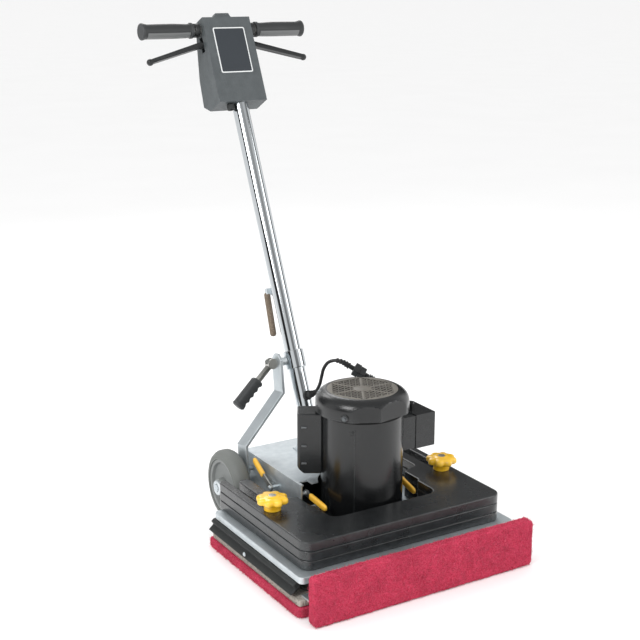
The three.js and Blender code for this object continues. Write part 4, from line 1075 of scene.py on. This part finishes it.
def handle_column():
    softened("handle_tube", CHROME, 1.2 * MM, 3, 30)
    softened("collar", CHROME, 1.5 * MM)
    low, high = reach("handle_tube", HANDLE)
    tube = max(high.x, -low.x) + SHELL_PROUD
    foot = low.z + SHELL_FOOT
    shell = [(tube - MM, foot), (tube, foot + 0.4 * MM), (tube, high.z - 0.4 * MM), (tube - MM, high.z)]
    detail("handle_tube_shell", revolve(shell, 96, closed=True), CHROME, "handle_tube", HANDLE)
    low, high = reach("collar", HANDLE)
    ring = COLLAR_RADIUS
    band = [(ring - MM, low.z), (ring - 0.5 * MM, low.z - 0.2 * MM), (ring, low.z + 0.5 * MM),
            (ring, high.z - 0.5 * MM), (ring - 0.5 * MM, high.z + 0.2 * MM), (ring - MM, high.z)]
    detail("collar_band", revolve(band, 96, closed=True), CHROME, "collar", HANDLE, sharp=25)
    softened("lead_grommet", RUBBER, 1 * MM)
    for node, edge in (("pivot_bracket", 1), ("pivot_bolt", 0.7), ("strut", 1.2), ("cam_bolt", 0.7)):
        softened(node, ZINC, edge * MM)


SLEEVE_RADIUS = 6.8 * MM
SLEEVE_LENGTH = 96 * MM
HOOK_HANG = math.radians(3.5)


def cord_hook():
    softened("cord_hook_bracket", ZINC, 0.8 * MM)
    hinge = pivot("cord_hook_turn")
    low, high = reach("cord_hook", HANDLE)
    local = HANDLE.inverted() @ hinge
    hang = Matrix.Rotation(HOOK_HANG, 4, "Y")
    where = HANDLE @ Matrix.Translation(local) @ hang @ Matrix.Translation((-13.5 * MM, 0, 0))
    depth = high.y - 6.9 * MM - local.y
    rod = revolve(capsule(SLEEVE_RADIUS, -MM - SLEEVE_LENGTH, -MM, 5.5 * MM), 40)
    piece("cord_hook_sleeve", rod, SLEEVE, "cord_hook", where @ Matrix.Translation((0, depth, 0)), sharp=60)
    arm_low = low.y - local.y + 0.2 * MM
    arm = box((-4 * MM, arm_low, -7 * MM), (21.5 * MM, arm_low + 7.6 * MM, 7 * MM))
    piece("cord_hook_arm", arm, ZINC, "cord_hook", where, bevel=1.5 * MM)
    nut = hex_bolt(6 * MM, 5 * MM, 8 * MM)
    detail("cord_hook_nut", nut, ZINC, "cord_hook", HANDLE @ turned_to((0, 1, 0), local) @ Matrix.Translation(
        (0, 0, arm_low + 7.6 * MM)), bevel=0.4 * MM)


FINGERS = 4


def cam():
    """The clamp lever: a flat steel bar from a round cam to a black finger grip."""
    softened("cam_lever", STEEL, 1 * MM)
    low, high = reach("cam_grip", CAM)
    start, end = (low.x, high.x) if abs(high.x) > abs(low.x) else (high.x, low.x)
    span = end - start
    middle_y = (low.y + high.y) / 2
    half_y = (high.y - low.y) / 2
    middle_z = (low.z + high.z) / 2
    half_z = (high.z - low.z) / 2
    rings = []
    for i in range(49):
        share = i / 48
        wave = 0.5 - 0.5 * math.cos(math.tau * FINGERS * (share - 0.08) / 0.8)
        dip = 0.34 * wave if 0.08 < share < 0.88 else 0.0
        size = min(1.0, 0.8 + 5 * min(share, 1 - share)) * (1.0 if share > 0.92 else 0.95)
        ring = []
        for k in range(36):
            turn = math.tau * k / 36
            across = math.copysign(abs(math.cos(turn)) ** 0.7, math.cos(turn))
            upward = math.copysign(abs(math.sin(turn)) ** 0.7, math.sin(turn))
            under = 1 - dip * max(0.0, -upward)
            ring.append((start + span * share, middle_y + half_y * size * across,
                         middle_z + half_z * size * upward * under))
        rings.append(ring)
    piece("cam_grip_handle", loft(rings), GRIP_RUBBER, "cam_grip", CAM, sharp=60)


LABEL_SIZE = (76 * MM, 102 * MM)
LABEL_DROP = 24 * MM


def control_box():
    """The moulded switch box with its slate label."""
    softened("control_box_front", BOX_PLASTIC, 2.2 * MM, 4, 20)
    softened("control_box_rear", BOX_PLASTIC, 2 * MM, 4, 20)
    softened("lockout_button", BOX_PLASTIC, 1.4 * MM)
    softened("power_cord_gland", RUBBER, 1 * MM)
    low, high = reach("control_box_front", HANDLE)
    wide, tall = LABEL_SIZE
    centre = Vector(((low.x + high.x) / 2, low.y, high.z - LABEL_DROP - tall / 2))
    face = HANDLE @ Matrix.Translation(centre) @ Matrix.Rotation(math.radians(90), 4, "X")
    for name, look, grow, corner, lift in (("frame", BOX_PLASTIC, 7 * MM, 6 * MM, 0.5 * MM),
                                           ("border", LABEL_WHITE, 0, 4 * MM, 0.8 * MM),
                                           ("panel", LABEL_SLATE, -5 * MM, 2.4 * MM, 1.0 * MM)):
        outline = rounded(wide + grow, tall + grow, corner, 8)
        plate = [[(x, y, z) for x, y in outline] for z in (-0.5 * MM, lift)]
        detail(f"label_{name}", loft(plate), look, "control_box_front", face, bevel=0.2 * MM,
               segments=2)


GRIP_RADIUS = 15.5 * MM
BAR_BORE = 11.2 * MM


def grips():
    softened("handlebar", STEEL, 0.8 * MM)
    low_bar, high_bar = reach("handlebar", HANDLE)
    bar = (low_bar + high_bar) / 2
    for side, sign in SIDES:
        node = f"hand_grip_{side}"
        low, high = reach(node, HANDLE)
        inner, outer = sorted((abs(low.x), abs(high.x)))
        spot = HANDLE @ turned_to((sign, 0, 0), (0, bar.y, bar.z))
        radius = GRIP_RADIUS
        profile = [(BAR_BORE, inner), (radius + 0.8 * MM, inner), (radius + 1.4 * MM, inner + 1.2 * MM),
                   (radius + 1.4 * MM, inner + 5 * MM), (radius - 0.6 * MM, inner + 6.5 * MM),
                   (radius - 1.2 * MM, inner + 14 * MM), (radius, inner + 42 * MM), (radius, inner + 70 * MM),
                   (radius - 0.4 * MM, outer - 15 * MM), (radius + 1.2 * MM, outer - 7 * MM),
                   (17.8 * MM, outer - 4 * MM), (17.8 * MM, outer - 1.6 * MM), (16.2 * MM, outer), (0, outer),
                   (0, outer - 2 * MM), (BAR_BORE, outer - 3 * MM)]
        piece(f"{node}_sleeve", revolve(profile, 72, closed=True), GRIP_RUBBER, node, spot, sharp=34)
        ring = [(BAR_BORE, inner - 15 * MM), (14 * MM, inner - 15 * MM), (15 * MM, inner - 14 * MM),
                (15 * MM, inner - 5 * MM), (14 * MM, inner - 4 * MM), (BAR_BORE, inner - 4 * MM)]
        detail(f"{node}_ring", revolve(ring, 60, closed=True), BLACK_PLASTIC, "handlebar", spot)
        under = []
        for x, out in ((inner + 9 * MM, radius - 0.4 * MM), (inner + 16 * MM, radius + 0.1 * MM),
                       (inner + 42 * MM, radius + 0.7 * MM), (outer - 22 * MM, radius + 0.7 * MM),
                       (outer - 12 * MM, radius + 0.6 * MM)):
            arc = [math.radians(a) for a in range(-55, 56, 10)]
            outside = [(sign * x, bar.y + out * math.sin(a), bar.z - out * math.cos(a)) for a in arc]
            inside = [(sign * x, bar.y + (out - 2 * MM) * math.sin(a), bar.z - (out - 2 * MM) * math.cos(a))
                      for a in reversed(arc)]
            under.append(outside + inside)
        detail(f"{node}_under", loft(under), GRIP_UNDER, node, HANDLE, sharp=50)
        softened(f"trigger_{side}", BLACK_PLASTIC, 1.6 * MM, 4)


def connectors():
    plug = softened("lead_plug", BLACK_PLASTIC, 1.2 * MM)
    socket = softened("lead_socket", BLACK_PLASTIC, 1.2 * MM)
    return plug, socket


def hidden_parts():
    softened("stator", DARK_STEEL, 0.6 * MM)
    softened("motor_rotor", DARK_STEEL, 0.6 * MM)
    softened("driver_bearing", STEEL, 0.6 * MM)


# ---------------------------------------------------------------- studio
def studio_floor():
    mesh = bpy.data.meshes.new("studio_floor")
    mesh.from_pydata([(-160, -160, 0), (160, -160, 0), (160, 160, 0), (-160, 160, 0)], [], [[0, 1, 2, 3]])
    floor = in_scene("studio_floor", mesh)
    made, tree, shader = material("studio_paper")
    mottled = place(tree, MOTTLE, Colour=(0.96, 0.96, 0.96, 1), Scale=2.0, Amount=0.02, Roughness=0.85)
    dress(tree, shader, mottled.outputs["Colour"], mottled.outputs["Roughness"])
    mesh.materials.append(made)


def softbox(name, centre, target, width, height, power):
    lamp = bpy.data.lights.new(name, "AREA")
    lamp.shape = "RECTANGLE"
    lamp.size = width
    lamp.size_y = height
    lamp.energy = power
    holder = in_scene(name, lamp)
    holder.location = centre
    aim = Vector(target) - Vector(centre)
    holder.rotation_euler = aim.to_track_quat("-Z", "Y").to_euler()


def studio_air():
    """White all round; shiny surfaces see dark upright panels between white ones."""
    world = bpy.data.worlds.new("studio_air")
    bpy.context.scene.world = world
    world.use_nodes = True
    tree = world.node_tree
    back = tree.nodes["Background"]
    around = tree.nodes.new("ShaderNodeTexCoord").outputs["Generated"]
    way = link_node(tree, "ShaderNodeSeparateXYZ", Vector=around)
    turn = math_node(tree, "ARCTAN2", way.outputs[1], way.outputs[0])
    wave = math_node(tree, "SINE", math_node(tree, "MULTIPLY_ADD", turn, 5.0, 0.8))
    ramp = link_node(tree, "ShaderNodeValToRGB", Fac=math_node(tree, "MULTIPLY_ADD", wave, 0.5, 0.5))
    ramp.color_ramp.elements[0].position = 0.3
    ramp.color_ramp.elements[0].color = (0.03, 0.03, 0.03, 1)
    ramp.color_ramp.elements[1].position = 0.62
    ramp.color_ramp.elements[1].color = (1, 1, 1, 1)
    high = math_node(tree, "MULTIPLY_ADD", way.outputs[2], 2.2, -0.6, clamp=True)
    panels = blend_colour(tree, high, ramp.outputs[0], (0.55, 0.55, 0.55, 1))
    rays = tree.nodes.new("ShaderNodeLightPath").outputs["Is Glossy Ray"]
    tree.links.new(blend_colour(tree, rays, (1, 1, 1, 1), panels), back.inputs[0])
    back.inputs[1].default_value = 1.0


def lights():
    studio_air()
    softbox("key_light", (-2.3, -0.7, 2.1), (0, 0, 0.4), 1.2, 1.2, 40)
    softbox("fill_light", (2.2, -1.6, 1.6), (0, 0, 0.3), 1.2, 1.6, 16)
    softbox("back_light", (0.4, 2.6, 2.2), (0, 0, 0.5), 2.0, 1.0, 20)
    bpy.context.scene.view_settings.view_transform = "Standard"


camera()
plug, socket = connectors()
motor_lead()
terminal_tail()
cord_reliefs()
scrub_pads()
pad_driver()
deck()
chassis_bolts()
motor_housing()
fan_cover()
motor_details()
capacitor_cover()
terminal_box()
terminal_cap()
knobs()
latches()
wheels()
handle_column()
cord_hook()
cam()
control_box()
grips()
hidden_parts()
studio_floor()
lights()
